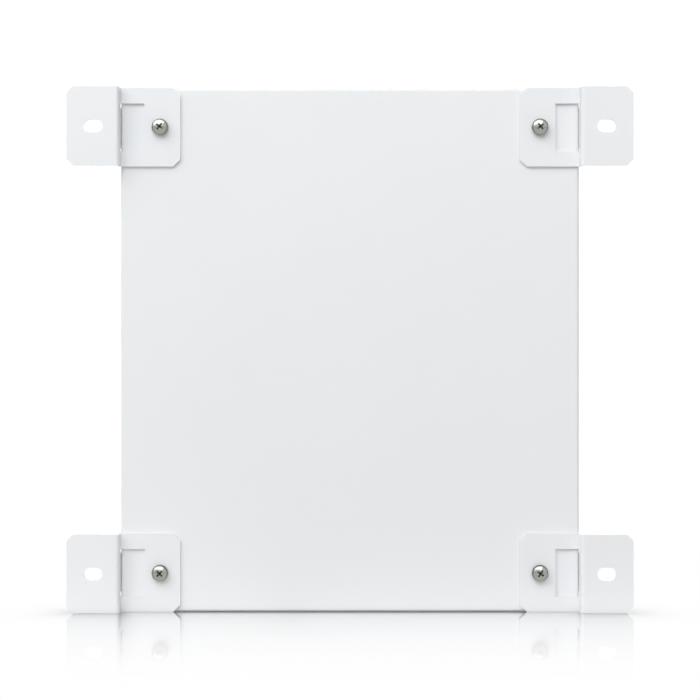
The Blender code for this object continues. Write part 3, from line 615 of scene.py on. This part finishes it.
def screw_mesh(radius, height, shank, length, recess, sides=96):
    """Pan head with a cross recess, pointing along +Y with its head's underside at y = 0."""
    dome, fillet = SCREW_DOME * radius, 0.3 * radius
    lean = math.asin((radius - fillet) / (dome - fillet))
    profile = []
    for step in range(17):
        angle = lean * (0.03 + 0.97 * step / 16)
        profile.append((dome * math.sin(angle), -height + dome * (1 - math.cos(angle))))
    corner = (radius - fillet, -height + dome - (dome - fillet) * math.cos(lean))
    for step in range(1, 11):
        angle = lean + (math.pi / 2 - lean) * step / 10
        profile.append((corner[0] + fillet * math.sin(angle), corner[1] - fillet * math.cos(angle)))
    profile += [(radius, -0.06 * height), (radius - 0.1, 0), (shank, 0), (shank, length - 0.5), (shank - 0.5, length)]
    body = turned(profile, sides=sides)
    top, floor = -height - 0.4, -height + 0.5 * recess
    blades = []
    for quarter in (False, True):
        rings = []
        for y, across, thick in ((top, 1.08 * recess, 0.24 * recess), (floor, 0.6 * recess, 0.17 * recess)):
            u, v = (across / 2, thick / 2) if not quarter else (thick / 2, across / 2)
            rings.append([(-u, y, -v), (u, y, -v), (u, y, v), (-u, y, v)])
        blades.append(loft(rings))
    heart = [(0.22 * recess, top), (0.17 * recess, floor), (0.02 * recess, floor + 0.15 * recess)]
    blades.append(turned(heart, sides=24))
    return rounded(combine(body, blades), 0.05, 2, 40)


def ears_and_screws():
    ear = ear_mesh()
    low, high, _ = box_of("ear_screw_top_right")
    radius = (high.z - low.z) / 2
    seat_y = PLATE_Y - 0.02
    head = seat_y - low.y + 0.3
    FINISHES["ear screw"] = (screw_metal_painted_shade(head * MM, SCREW_DOME * radius * MM), "nickel_plated_steel")
    screw = screw_mesh(radius, head, 1.9, high.y - seat_y, 3.85)
    for level, node in LEVELS.items():
        z = box_of(node)[2].z
        for side_name, side in SIDES.items():
            where = f"{level}_{side_name}"
            piece(f"ear_{where}", ear, "coat", f"mount_ear_{where}", place=placed(0, 0, z, 0 if side > 0 else 180))
            piece(f"screw_{where}", screw, "ear screw", f"ear_screw_{where}",
                  place=placed(side * SCREW_X, seat_y, z, SCREW_TURNS_DEG[where]))


# Radome, seal and light

def radome():
    """Crowned cover with rolled corners, a groove for the seal, a lip and a round-ended light window."""
    half_x, half_z = RADOME_HIGH.x, (RADOME_HIGH.z - RADOME_LOW.z) / 2
    foot_y, shoulder_y = RIM_Y + FIT_GAP, FRONT_Y - CROWN_RISE - RADOME_EDGE
    outer = [(0.35, foot_y), (0.1, foot_y + 0.1), (0.0, foot_y + 0.35), (0.5 * RADOME_DRAFT, (foot_y + shoulder_y) / 2)]
    for step in range(17):
        angle = math.pi / 2 * step / 16
        outer.append((RADOME_DRAFT + RADOME_EDGE * (1 - math.cos(angle)), shoulder_y + RADOME_EDGE * math.sin(angle)))
    reach = half_x - RADOME_DRAFT - RADOME_EDGE
    for step in range(1, 19):
        share = 0.05 * step
        outer.append((RADOME_DRAFT + RADOME_EDGE + reach * share, FRONT_Y - CROWN_RISE * (1 - share) ** 2))
    groove_y = foot_y + 2.5
    lip_outer = HALF_W - PAN_RETURN - FIT_GAP
    lip_inner, lip_y = lip_outer - 1.6, RIM_Y - PAN_SHEET - 2.2

    def wall(profile):
        return [rounded_ring(half_x - inset, half_z - inset, 6 + 0.3 * min(inset, 6), y, 14) for inset, y in profile]

    lip = [(lip_inner, groove_y + 2.5), (lip_inner, lip_y + 0.3), (lip_inner + 0.3, lip_y), (lip_outer - 0.4, lip_y),
           (lip_outer, lip_y + 0.5), (lip_outer, groove_y)]
    inside = [(inset + RADOME_WALL, y - RADOME_WALL) for inset, y in reversed(outer[4:])]
    rings = wall(inside + [(RADOME_WALL, groove_y + 2.5)])
    rings += [rounded_ring(half, half + half_z - half_x, 3, y, 14) for half, y in lip]
    rings += wall([(RADOME_WALL, groove_y), (RADOME_WALL, foot_y)] + outer)
    low, high, middle = box_of("light_guide")
    guide_half = (high.z - low.z) / 2
    window = rounded_prism(high.x + FIT_GAP, guide_half + FIT_GAP, guide_half + 0.29, 8, (0, middle.z),
                           FRONT_Y - 10, FRONT_Y + 2)
    piece("radome", combine(loft(rings), [window]), "white", "front_radome", "front_cover")

    bar = ((0.2, low.y), (0.0, low.y + 0.3), (0.0, high.y - 0.25), (0.08, high.y - 0.08), (0.3, high.y))
    bar = [rounded_ring(high.x - inset, guide_half - inset, guide_half - inset - 0.02, y, 8, (0, middle.z))
           for inset, y in bar]
    piece("light_bar", loft(bar), "milky", "light_guide", "front_cover")


def seal():
    """Round-topped seal along the pan's rim."""
    low, high, middle = box_of("rim_gasket")
    half_z = (high.z - low.z) / 2
    width, extra = PAN_RETURN - 0.6 - RADOME_WALL - 2 * FIT_GAP, half_z - high.x
    rings = []
    for step in range(20):
        angle = 2 * math.pi * step / 20
        half = high.x - width / 2 + width / 2 * squarer(math.cos(angle), 0.6)
        y = middle.y + (high.y - low.y) / 2 * squarer(math.sin(angle), 0.75)
        rings.append(rounded_ring(half, half + extra, 5.2, y, 10))
    piece("seal", loft(rings, closed=True), "rubber", "rim_gasket")


# Ports

def wire_contacts(face_x, low_y, z):
    """Eight sprung wires that rise towards the back of a jack's mouth."""
    made = []
    for index in range(8):
        at = z + (index - 3.5) * 1.02
        bends = ((3.0, -0.3), (3.6, 0.35), (4.6, 0.75), (12.6, 3.6), (13.4, 4.3))
        made.append(sweep([(face_x - back, low_y + up, at) for back, up in bends], 0.2, 8))
    return joined(made)


def ethernet_jack(index):
    """Jack with a folded tin shield, a stepped mouth, sprung contacts and two lamp windows."""
    low, high, middle = box_of(f"ethernet_jack_{index}")
    z, lamp_half = middle.z, 1.3
    mouth_low, mouth_high, latch_high = low.y + 2.2, low.y + 9.5, low.y + 11.5
    sheet, half, mouth = 0.25, (high.z - low.z) / 2, 5.95

    def opening(grow, from_x, to_x):
        wide, slim, step_y = mouth + grow, 3.2 + grow, mouth_high + grow
        side = [(mouth_low - grow, wide), (step_y, wide), (step_y, slim), (latch_high + grow, slim)]
        outline = [(y, z - across) for y, across in side] + [(y, z + across) for y, across in reversed(side)]
        return prism(outline, from_x, to_x, "X")

    inset = sheet + 0.02
    body = box_mesh((low.x + inset, low.y, low.z + inset), (high.x - inset, high.y - inset, high.z - inset))
    cuts = [opening(0.0, high.x - 14, high.x + 2), opening(0.3, high.x - 0.7, high.x + 2)]
    lamps, windows, slits = [], [], []
    for side in (-1, 1):
        lamp_z, wall = z + side * LAMP_OFFSET, z + side * half

        def lamp_box(from_x, to_x, grow):
            return box_mesh((high.x + from_x, high.y - 2.9 - grow, lamp_z - lamp_half - grow),
                            (high.x + to_x, high.y - 1.1 + grow, lamp_z + lamp_half + grow))

        cuts.append(lamp_box(-3, 1, 0.0))
        lamps.append(rounded(lamp_box(-2.9, -0.1, -0.05), 0.15, 2))
        windows.append(lamp_box(-1, 1, 0.15))
        for along in (4.0, 11.0):
            for up in (5, 8):
                slits.append(box_mesh((high.x - along - 4.2, low.y + up, wall - 0.6),
                                      (high.x - along, low.y + up + 0.35, wall + 0.6)))
    piece(f"jack_body_{index}", rounded(combine(body, cuts), 0.08, 2), "black", f"ethernet_jack_{index}")
    hollow = box_mesh((low.x + sheet, low.y - 1, low.z + sheet), (high.x - sheet, high.y - sheet, high.z - sheet))
    front = opening(0.75, high.x - 1, high.x + 1)
    shield = combine(box_mesh(low, high), [hollow, front, *windows, *slits])
    piece(f"jack_shield_{index}", rounded(shield, 0.09, 2), "tin")
    piece(f"jack_contacts_{index}", wire_contacts(high.x, mouth_low, z), "gold")
    piece(f"jack_lamps_{index}", joined(lamps), "clear")


def reset_control():
    """Turned plunger with a dished end, and its switch in a folded frame."""
    centre = (0, BUTTON_MIDDLE.y, BUTTON_MIDDLE.z)
    radius, collar = 1.4, HALF_W - PAN_SHEET - FIT_GAP
    base, tip = BUTTON_LOW.x, BUTTON_HIGH.x
    profile = [(1.1, base), (radius, base + 0.3), (radius, collar - 0.8), (2.1, collar - 0.8), (2.2, collar - 0.7),
               (2.2, collar - 0.1), (2.1, collar), (radius, collar), (radius, tip - 0.25), (1.33, tip - 0.07),
               (1.15, tip), (0.9, tip - 0.04), (0.4, tip - 0.16), (0.05, tip - 0.18)]
    piece("plunger", turned(profile, centre, "X", 48), "black", "reset_button", "reset_plunger")
    low, high, _ = box_of("reset_switch")
    body = box_mesh((low.x + 0.2, low.y, low.z + 0.2), (high.x, high.y - 0.2, high.z - 0.2))
    piece("switch_body", rounded(body, 0.3, 3), "black", "reset_switch")
    cover = box_mesh((low.x, low.y + 1, low.z), (high.x - 1, high.y, high.z))
    inner = box_mesh((low.x - 1, low.y - 1, low.z + 0.18), (high.x + 1, high.y - 0.18, high.z - 0.18))
    piece("switch_frame", rounded(combine(cover, [inner]), 0.05, 2), "tin")


# On the board

def shield_can(node, holes):
    """Drawn lid with rolled edges, a raised panel, snap dimples and, where it runs hot, vents."""
    low, high, middle = box_of(node)
    middle = middle.xz
    half_x, half_z = (high.x - low.x) / 2, (high.z - low.z) / 2
    wall, bend, top = 0.25, 0.7, high.y - 0.2
    section = [(wall, low.y), (0.0, low.y), (0.0, top - bend)]
    section += arc((bend, top - bend), bend, 180, 90, 6)[1:]
    section += [(2.2, top), (2.35, top + 0.05), (2.6, top + 0.19), (2.8, top + 0.2)]
    inner = [(2.8, top - 0.3), (bend, top - 0.3), (wall, top - bend - 0.1)]
    can = loft([rounded_ring(half_x - inset, half_z - inset, 0.9, y, 6, middle) for inset, y in inner + section])
    cutters = []
    if holes:
        step = 4.2
        count = int(half_x // step) - 1
        for column in range(-count, count + 1):
            for row in range(-count, count + 1):
                if abs(column) + abs(row) < 2 * count:
                    centre = (middle[0] + column * step, 0, middle[1] + row * step)
                    cutters.append(bore(0.7, top - 1, top + 1, centre, sides=16))
    angles = [math.pi * (0.05 + 0.9 * i / 8) for i in range(9)]
    dimple = [(0.55 * math.sin(a), -0.55 * math.cos(a)) for a in angles]
    for side in (-1, 1):
        for along in (-0.7, -0.25, 0.25, 0.7):
            for u, v in ((along, side), (side, along)):
                centre = (middle[0] + u * half_x, low.y + 1.7, middle[1] + v * half_z)
                cutters.append(turned(dimple, centre, "Y", 12))
    piece(f"{node}_lid", combine(can, [joined(cutters)]), "tin", node)


def boxed(centre, size, edge=0.1):
    low = [c - s / 2 for c, s in zip(centre, size)]
    high = [c + s / 2 for c, s in zip(centre, size)]
    return rounded(box_mesh(low, high), edge, 2)


def board_parts():
    """Small surface parts in loose groups round the large ones, with their end caps and legs."""
    draw = random.Random(BOARD_SEED)
    board_low, board_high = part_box("main_board")              # the layout is worked out in metres
    keep_out = []

    def claim(low_x, high_x, low_z, high_z, margin):
        keep_out.append((low_x - margin, high_x + margin, low_z - margin, high_z + margin))

    for name in nodes.keys():
        low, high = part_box(name)
        on_board = low.y < board_high.y + 3 * MM and high.y > board_high.y + 0.1 * MM
        if on_board and name not in ("rear_chassis", "front_radome", "rim_gasket"):
            claim(low.x, high.x, low.z, high.z, 2.0 * MM)

    def free(x, z, reach):
        edge = reach + 3 * MM
        inside = board_low.x + edge < x < board_high.x - edge and board_low.z + edge < z < board_high.z - edge
        return inside and not any(x0 < x + reach and x - reach < x1 and z0 < z + reach and z - reach < z1
                                  for x0, x1, z0, z1 in keep_out)

    base = BOARD_HIGH.y
    bodies, ends, tan = [], [], []
    for _ in range(CHIP_TRIES):
        x, z = draw.uniform(board_low.x, board_high.x), draw.uniform(board_low.z, board_high.z)
        side = draw.choice((5.0, 6.5, 8.0))
        reach = side * MM * 0.75
        if not free(x, z, reach):
            continue
        claim(x, x, z, z, reach)
        x, z = x / MM, z / MM
        bodies.append(boxed((x, base + 0.75, z), (side * 0.8, 1.2, side), 0.12))
        legs = int(side / LEG_PITCH)
        for leg in range(legs):
            at = z + (leg - (legs - 1) / 2) * LEG_PITCH
            for way in (-1, 1):
                knee = x + way * side * 0.4
                bends = ((-0.2, 0.75), (0.35, 0.7), (0.5, 0.2), (1.0, 0.12))
                ends.append(sweep([(knee + way * out, base + up, at) for out, up in bends], 0.13, 6))
    resistor, capacitor = [[boxed((0, 0, 0), size, edge) for size, edge in sizes] for sizes in (
        (((0.95, 0.5, 0.8), 0.04), ((0.32, 0.56, 0.84), 0.05)), (((1.0, 0.8, 0.85), 0.08), ((0.34, 0.86, 0.9), 0.09)))]
    for _ in range(ROW_TRIES):
        x, z = draw.uniform(board_low.x, board_high.x), draw.uniform(board_low.z, board_high.z)
        kind, upright = draw.random() < 0.5, draw.random() < 0.5
        for number in range(draw.randint(1, 5)):
            shift = number * 1.9 * MM
            px, pz = (x + shift, z) if upright else (x, z + shift)
            if not free(px, pz, 1.0 * MM):
                continue
            claim(px, px, pz, pz, 0.9 * MM)
            spot = placed(px / MM, base + (0.42 if kind else 0.27), pz / MM, 90 if upright else 0)
            body, cap = capacitor if kind else resistor
            (tan if kind else bodies).append(moved(body, spot))
            for way in (-1, 1):
                ends.append(moved(cap, spot @ placed(way * 0.62, 0, 0)))
    piece("board_chips", joined(bodies), "black")
    piece("board_capacitors", joined(tan), "ceramic")
    piece("board_terminals", joined(ends), "tin")
    sockets = []
    for index in range(1, 5):
        middle = box_of(f"antenna_lead_{index}")[2]
        side = 1 if middle.x > 0 else -1
        up = 14.7 if middle.z > MID_Z else -14.7
        profile = [(1.7, 0.05), (1.7, 0.3), (1.25, 0.4), (1.25, 1.3), (1.05, 1.5), (0.5, 1.5)]
        sockets.append(turned(profile, (side * 64, base, MID_Z + up), "Y", 32))
    piece("lead_sockets", joined(sockets), "gold")


def power_parts():
    """Network magnetics, power transformer, capacitors and wound inductor."""
    low, high, middle = box_of("lan_transformer")
    body = box_mesh((low.x + 1.4, low.y + 0.3, low.z), (high.x - 1.4, high.y, high.z))
    piece("lan_magnetics", rounded(body, 0.35, 3), "black", "lan_transformer")
    legs = []
    for row in range(10):
        at = middle.z + (row - 4.5) * 1.5
        for way, edge in ((-1, low.x + 1.4), (1, high.x - 1.4)):
            bends = ((-0.4, 2.6), (0.5, 2.5), (0.7, 0.2), (1.4, 0.05))
            legs.append(sweep([(edge + way * out, low.y + up, at) for out, up in bends], 0.2, 6))
    piece("lan_legs", joined(legs), "tin")

    low, high, middle = box_of("poe_transformer")
    x, z = middle.x, middle.z
    foot = box_mesh((low.x + 0.4, low.y, low.z), (high.x - 0.4, low.y + 1.5, high.z))
    cheeks = [box_mesh((x - 6.3, low.y + 1, side_z - 0.5), (x + 6.3, high.y - 0.8, side_z + 0.5))
              for side_z in (low.z + 0.6, high.z - 0.6)]
    piece("transformer_bobbin", rounded(combine(foot, cheeks, "UNION"), 0.2, 2), "black", "poe_transformer")
    core = box_mesh((low.x, low.y + 1.6, z - 4.3), (high.x, high.y, z + 4.3))
    gap = [box_mesh((x - 6.2, low.y + 3.6, z - 9), (x + 6.2, high.y - 2.0, z + 9)),
           box_mesh((low.x - 1, low.y, z - 0.08), (high.x + 1, high.y + 1, z + 0.08))]
    piece("transformer_core", rounded(combine(core, gap), 0.25, 2), "ferrite")
    winding = [rounded_ring(6.1, 6.9 - inset, 0.6, y, 6, (x, z)) for inset, y in
               ((0.5, low.y + 3.7), (0.0, low.y + 4.3), (0.0, high.y - 2.7), (0.5, high.y - 2.1))]
    piece("transformer_winding", loft(winding), "tape")

    for index in (1, 2):
        low, high, middle = box_of(f"capacitor_{index}")
        centre = Vector((middle.x, low.y, middle.z))
        tall = high.y - low.y
        profile = [(3.4, 0.0), (3.9, 0.15), (4.0, 0.5), (4.0, 1.3), (3.88, 1.45), (3.72, 1.7), (3.88, 1.95), (4.0, 2.1)]
        profile += [(4.0, tall - 0.6), (3.88, tall - 0.2), (3.6, tall), (3.15, tall - 0.03), (3.1, tall - 0.2)]
        piece(f"capacitor_sleeve_{index}", turned(profile, centre, "Y", 48), "sleeve", f"capacitor_{index}")
        cap = turned([(3.08, tall - 0.6), (3.08, tall - 0.12), (2.8, tall - 0.05)], centre, "Y", 48)
        scores = [box_mesh(centre + Vector((-x, tall - 0.17, -z)), centre + Vector((x, tall + 1, z)))
                  for x, z in ((0.07, 2.2), (2.2, 0.07))]
        piece(f"capacitor_top_{index}", combine(cap, scores), "aluminium")

    middle = box_of("power_inductor")[2]
    ring = [(5.7, -1.7), (5.9, -1.4), (5.9, 1.4), (5.7, 1.7), (3.9, 1.7), (3.7, 1.4), (3.7, -1.4), (3.9, -1.7)]
    piece("inductor_core", turned(ring, middle, closed=True), "ferrite", "power_inductor")
    turns = []
    for number in range(WINDING_TURNS):
        turn = 2 * math.pi * number / WINDING_TURNS
        loop = []
        for step in range(16):
            angle = 2 * math.pi * step / 16
            reach = 4.8 + 1.42 * squarer(math.cos(angle), 0.5)
            along = 2.1 * squarer(math.sin(angle), 0.5)
            loop.append(middle + Vector((reach * math.cos(turn), along, reach * math.sin(turn))))
        turns.append(sweep(loop, 0.32, 8, True))
    piece("inductor_winding", joined(turns), "copper")


def fasteners_inside():
    """Board screws, their hexagonal pillars and the press nuts behind the ears' screws."""
    low, high, _ = box_of("board_screw_1")
    head = screw_mesh((high.x - low.x) / 2, SCREW_HEAD_INSIDE, 1.2, 5.5, 2.5, 48)
    for index in range(1, 5):
        low, high, middle = box_of(f"board_screw_{index}")
        place = placed(middle.x, high.y - SCREW_HEAD_INSIDE, middle.z) @ Matrix.Rotation(math.pi, 4, "Z")
        place = place @ placed(0, 0, 0, 17 + 23 * index)
        piece(f"board_screw_fine_{index}", head, "nickel", f"board_screw_{index}", place=place)
        low, high, middle = box_of(f"board_standoff_{index}")
        tube = [(2.55, low.y), (2.75, low.y + 0.25), (2.75, high.y - 0.25), (2.55, high.y),
                (1.7, high.y), (1.5, high.y - 0.2), (1.5, low.y)]
        pillar = turned(tube, (middle.x, 0, middle.z), "Y", 6, True)
        piece(f"pillar_{index}", pillar, "brass", f"board_standoff_{index}")
    for level in LEVELS:
        for side_name in SIDES:
            node = f"press_nut_{level}_{side_name}"
            low, high, middle = box_of(node)
            tall = high.y - low.y
            pitch = 0.35
            profile = [(4.2, 0.0), (4.2, 1.1), (4.05, 1.25), (3.7, 1.4), (3.7, tall - 0.3), (3.45, tall), (2.7, tall),
                       (2.2, tall - 0.45)]
            for step in range(3):
                base = tall - 0.6 - 2 * pitch * step
                profile += [(2.4, base), (2.2, base - pitch)]
            profile.append((2.2, 0.0))
            nut = turned([(r, low.y + a) for r, a in profile], (middle.x, 0, middle.z), "Y", 48, True)
            piece(f"clinch_nut_{level}_{side_name}", nut, "zinc", node)


def antenna_parts():
    """Plate with a stiffening bead and slots, its posts, and the stamped blades."""
    low, high, _ = box_of("antenna_plate")
    half_x, half_z = high.x, (high.z - low.z) / 2
    plate = loft([rounded_ring(half_x - inset, half_z - inset, 5, y) for inset, y in
                  ((0.15, low.y), (0.0, low.y + 0.15), (0.0, high.y - 0.15), (0.15, high.y))])
    cuts = []
    for index in range(1, 5):
        post_low, post_high, middle = box_of(f"antenna_post_{index}")
        centre, base, top = (middle.x, 0, middle.z), post_low.y, post_high.y
        cuts.append(bore(1.9, low.y - 1, high.y + 1, centre))
        board_y = BOARD_HIGH.y + FIT_GAP
        profile = [(0.9, base), (1.2, base + 0.3), (1.2, board_y), (3.3, board_y), (3.5, board_y + 0.3),
                   (3.2, low.y - 1.2), (3.0, low.y - 0.4), (2.8, low.y - 0.3), (1.5, low.y - 0.3),
                   (1.5, high.y + 0.3), (2.35, high.y + 0.35), (2.4, high.y + 0.6), (1.35, top - 0.2), (1.0, top)]
        piece(f"snap_post_{index}", turned(profile, centre, "Y", 40), "white", f"antenna_post_{index}")
    for up in (-22, 22):
        cuts.append(rounded_prism(30, 2, 1.98, 10, (0, MID_Z + up), low.y - 1, high.y + 1))
    groove = [rounded_ring(half_x - inset, half_z - inset, 3, high.y + up) for inset, up in
              ((6.0, 1), (6.0, -0.3), (7.2, -0.3), (7.2, 1))]
    cuts.append(loft(groove, closed=True))
    piece("reflector_plate", combine(plate, cuts), "aluminium", "antenna_plate")
    outline = [(0, -9), (0, -6.5), (7, -6.5), (7, -1.2), (2, -1.2), (2, 1.2), (7, 1.2), (7, 9), (11, 9), (11, -9)]
    blade = rounded(prism(outline, -0.4, 0.4, "X"), 0.12, 2)
    for index in range(1, 5):
        low, high, middle = box_of(f"antenna_element_{index}")
        spot = placed(middle.x, low.y, middle.z, 0 if high.x - low.x < 5 else 90)
        piece(f"blade_{index}", blade, "brass", f"antenna_element_{index}", place=spot)


# Floor, lights and surroundings

def stage_floor():
    """White floor that mirrors the object near its foot, with a painted contact shadow there and a painted bounce glow
    seen only by diffuse rays, fading to plain white further off.
    """
    bm = bmesh.new()
    reach = 60                    # metres
    bm.faces.new([bm.verts.new((x * reach, y * reach, 0)) for x, y in ((-1, -1), (1, -1), (1, 1), (-1, 1))])
    mesh = mesh_from(bm)
    floor = linked("floor", mesh)
    floor.location.z = -0.05 * MM
    floor.visible_glossy = False
    material = bpy.data.materials.new("floor")
    n = Nodes(material)
    place = n.add("SeparateXYZ", 0, Vector=n.add("NewGeometry", "Position")).node
    across = n.math("ABSOLUTE", place.outputs["X"])

    def away_from(x_range, y_range):
        squares = []
        for value, (low, high) in ((across, x_range), (place.outputs["Y"], y_range)):
            offset = n.math("ABSOLUTE", n.math("SUBTRACT", value, (low + high) / 2 * MM))
            past = n.math("MAXIMUM", n.math("SUBTRACT", offset, (high - low) / 2 * MM), 0.0)
            squares.append(n.math("POWER", past, 2.0))
        return n.math("SQRT", n.math("ADD", *squares))

    distance = n.math("MINIMUM", away_from((-HALF_W, HALF_W), (REAR_Y, FRONT_Y)),
                      away_from((HALF_W, EAR_HIGH.x), (WALL_Y, REAR_Y)))
    # Painted contact shadow: the floor's white emission is dimmed near the object's foot.
    shade = n.curve(distance, FLOOR_SHADE)
    painted_contact_shadow = n.add("Emission", Strength=shade)
    gloss = n.add("BsdfGlossy", Color=shade, Roughness=0.0)
    white = n.add("Emission", Strength=1.1)
    seen = n.mix(n.remap(distance, 0.0, 1.0, 0.2, 0.45), n.mix(n.curve(distance, FLOOR_MIRROR), painted_contact_shadow, gloss), white)
    # Painted bounce glow: emission seen only by diffuse rays, strongest near the foot, dimmed where the object hides
    # the floor within 5 mm.
    near_sky = n.add("AmbientOcclusion", "AO", {"samples": 4}, Distance=5 * MM)
    painted_bounce_glow = n.math("MULTIPLY", n.curve(distance, FLOOR_BOUNCE), n.math("POWER", near_sky, 1.5))
    whole = n.mix(n.add("LightPath", "Is Diffuse Ray"), seen, n.add("Emission", Strength=painted_bounce_glow))
    n.finish("ShaderNodeOutputMaterial", whole)
    mesh.materials.append(material)


def world_light():
    """White surroundings: plain white to look at, softer for diffuse light from the sides and behind."""
    world = bpy.data.worlds.new("studio")
    bpy.context.scene.world = world
    n = Nodes(world)

    def white(strength):
        return n.add("Background", Color=(1, 1, 1, 1), Strength=strength)

    way = n.add("SeparateXYZ", 0, Vector=n.add("TexCoord", "Generated")).node
    front = n.math("MULTIPLY", way.outputs["Y"], -1.0)
    rise = way.outputs["Z"]
    lobe = n.math("MULTIPLY", n.remap(front, 0.0, 1.0, 0.2, 0.5), n.remap(rise, 0.0, GLOSS_FRONT, 0.0, 0.12))
    gloss = white(n.math("ADD", n.remap(rise, GLOSS_BELOW, 1.0, -0.12, 0.02), lobe))
    level = n.math("MULTIPLY", n.remap(front, AMBIENT_SIDE, AMBIENT_FRONT, -0.2, 1.0),
                   n.remap(rise, 1.0, AMBIENT_ZENITH, 0.6, 1.0))
    path = n.add("LightPath").node
    seen = n.mix(path.outputs["Is Glossy Ray"], white(1.05), gloss)
    n.finish("ShaderNodeOutputWorld", n.mix(path.outputs["Is Diffuse Ray"], seen, white(level)))


def soft_box(name, azimuth_deg, elevation_deg, distance, width, height, radiance, aim=(0, 0, MID_Z), tint=(1, 1, 1)):
    """Rectangular light aimed at a point. Azimuth 0 stands on the -Y side, 90 on the +X side."""
    azimuth, elevation = math.radians(azimuth_deg), math.radians(elevation_deg)
    level = math.cos(elevation)
    direction = Vector((math.sin(azimuth) * level, -math.cos(azimuth) * level, math.sin(elevation)))
    data = bpy.data.lights.new(name, "AREA")
    data.shape = "RECTANGLE"
    data.size, data.size_y = width, height
    data.color = tint
    data.energy = radiance * math.pi * width * height
    light = linked(name, data)
    light.location = Vector(aim) * MM + direction * distance
    light.rotation_euler = (-direction).to_track_quat("-Z", "Y").to_euler()
    return light


def main():
    make_camera()
    make_finishes()
    rear_pan()
    ears_and_screws()
    radome()
    seal()
    for index in (1, 2):
        ethernet_jack(index)
    reset_control()
    shield_can("processor_shield", True)
    for index in (1, 2, 3):
        shield_can(f"radio_shield_{index}", False)
    board_parts()
    power_parts()
    fasteners_inside()
    antenna_parts()
    kept = {"main_board": "mask", "heat_spreader": "aluminium", "thermal_pad": "pad", "antenna_lead": "jacket",
            "status_lamp": "clear"}
    for name, node in nodes.items():
        for start, finish in kept.items():
            if name.startswith(start):
                node.material_slots[0].material = FINISHES[finish][0]
    stage_floor()
    world_light()
    for name, setting in LIGHTS.items():
        soft_box(name, *setting)
    sky = soft_box("sky", *SKY, (0, REAR_Y, 2 * MID_Z), (0.4, 1.0, 0.9))
    sky.visible_glossy = False
    bpy.context.scene.view_settings.view_transform = "Standard"


main()
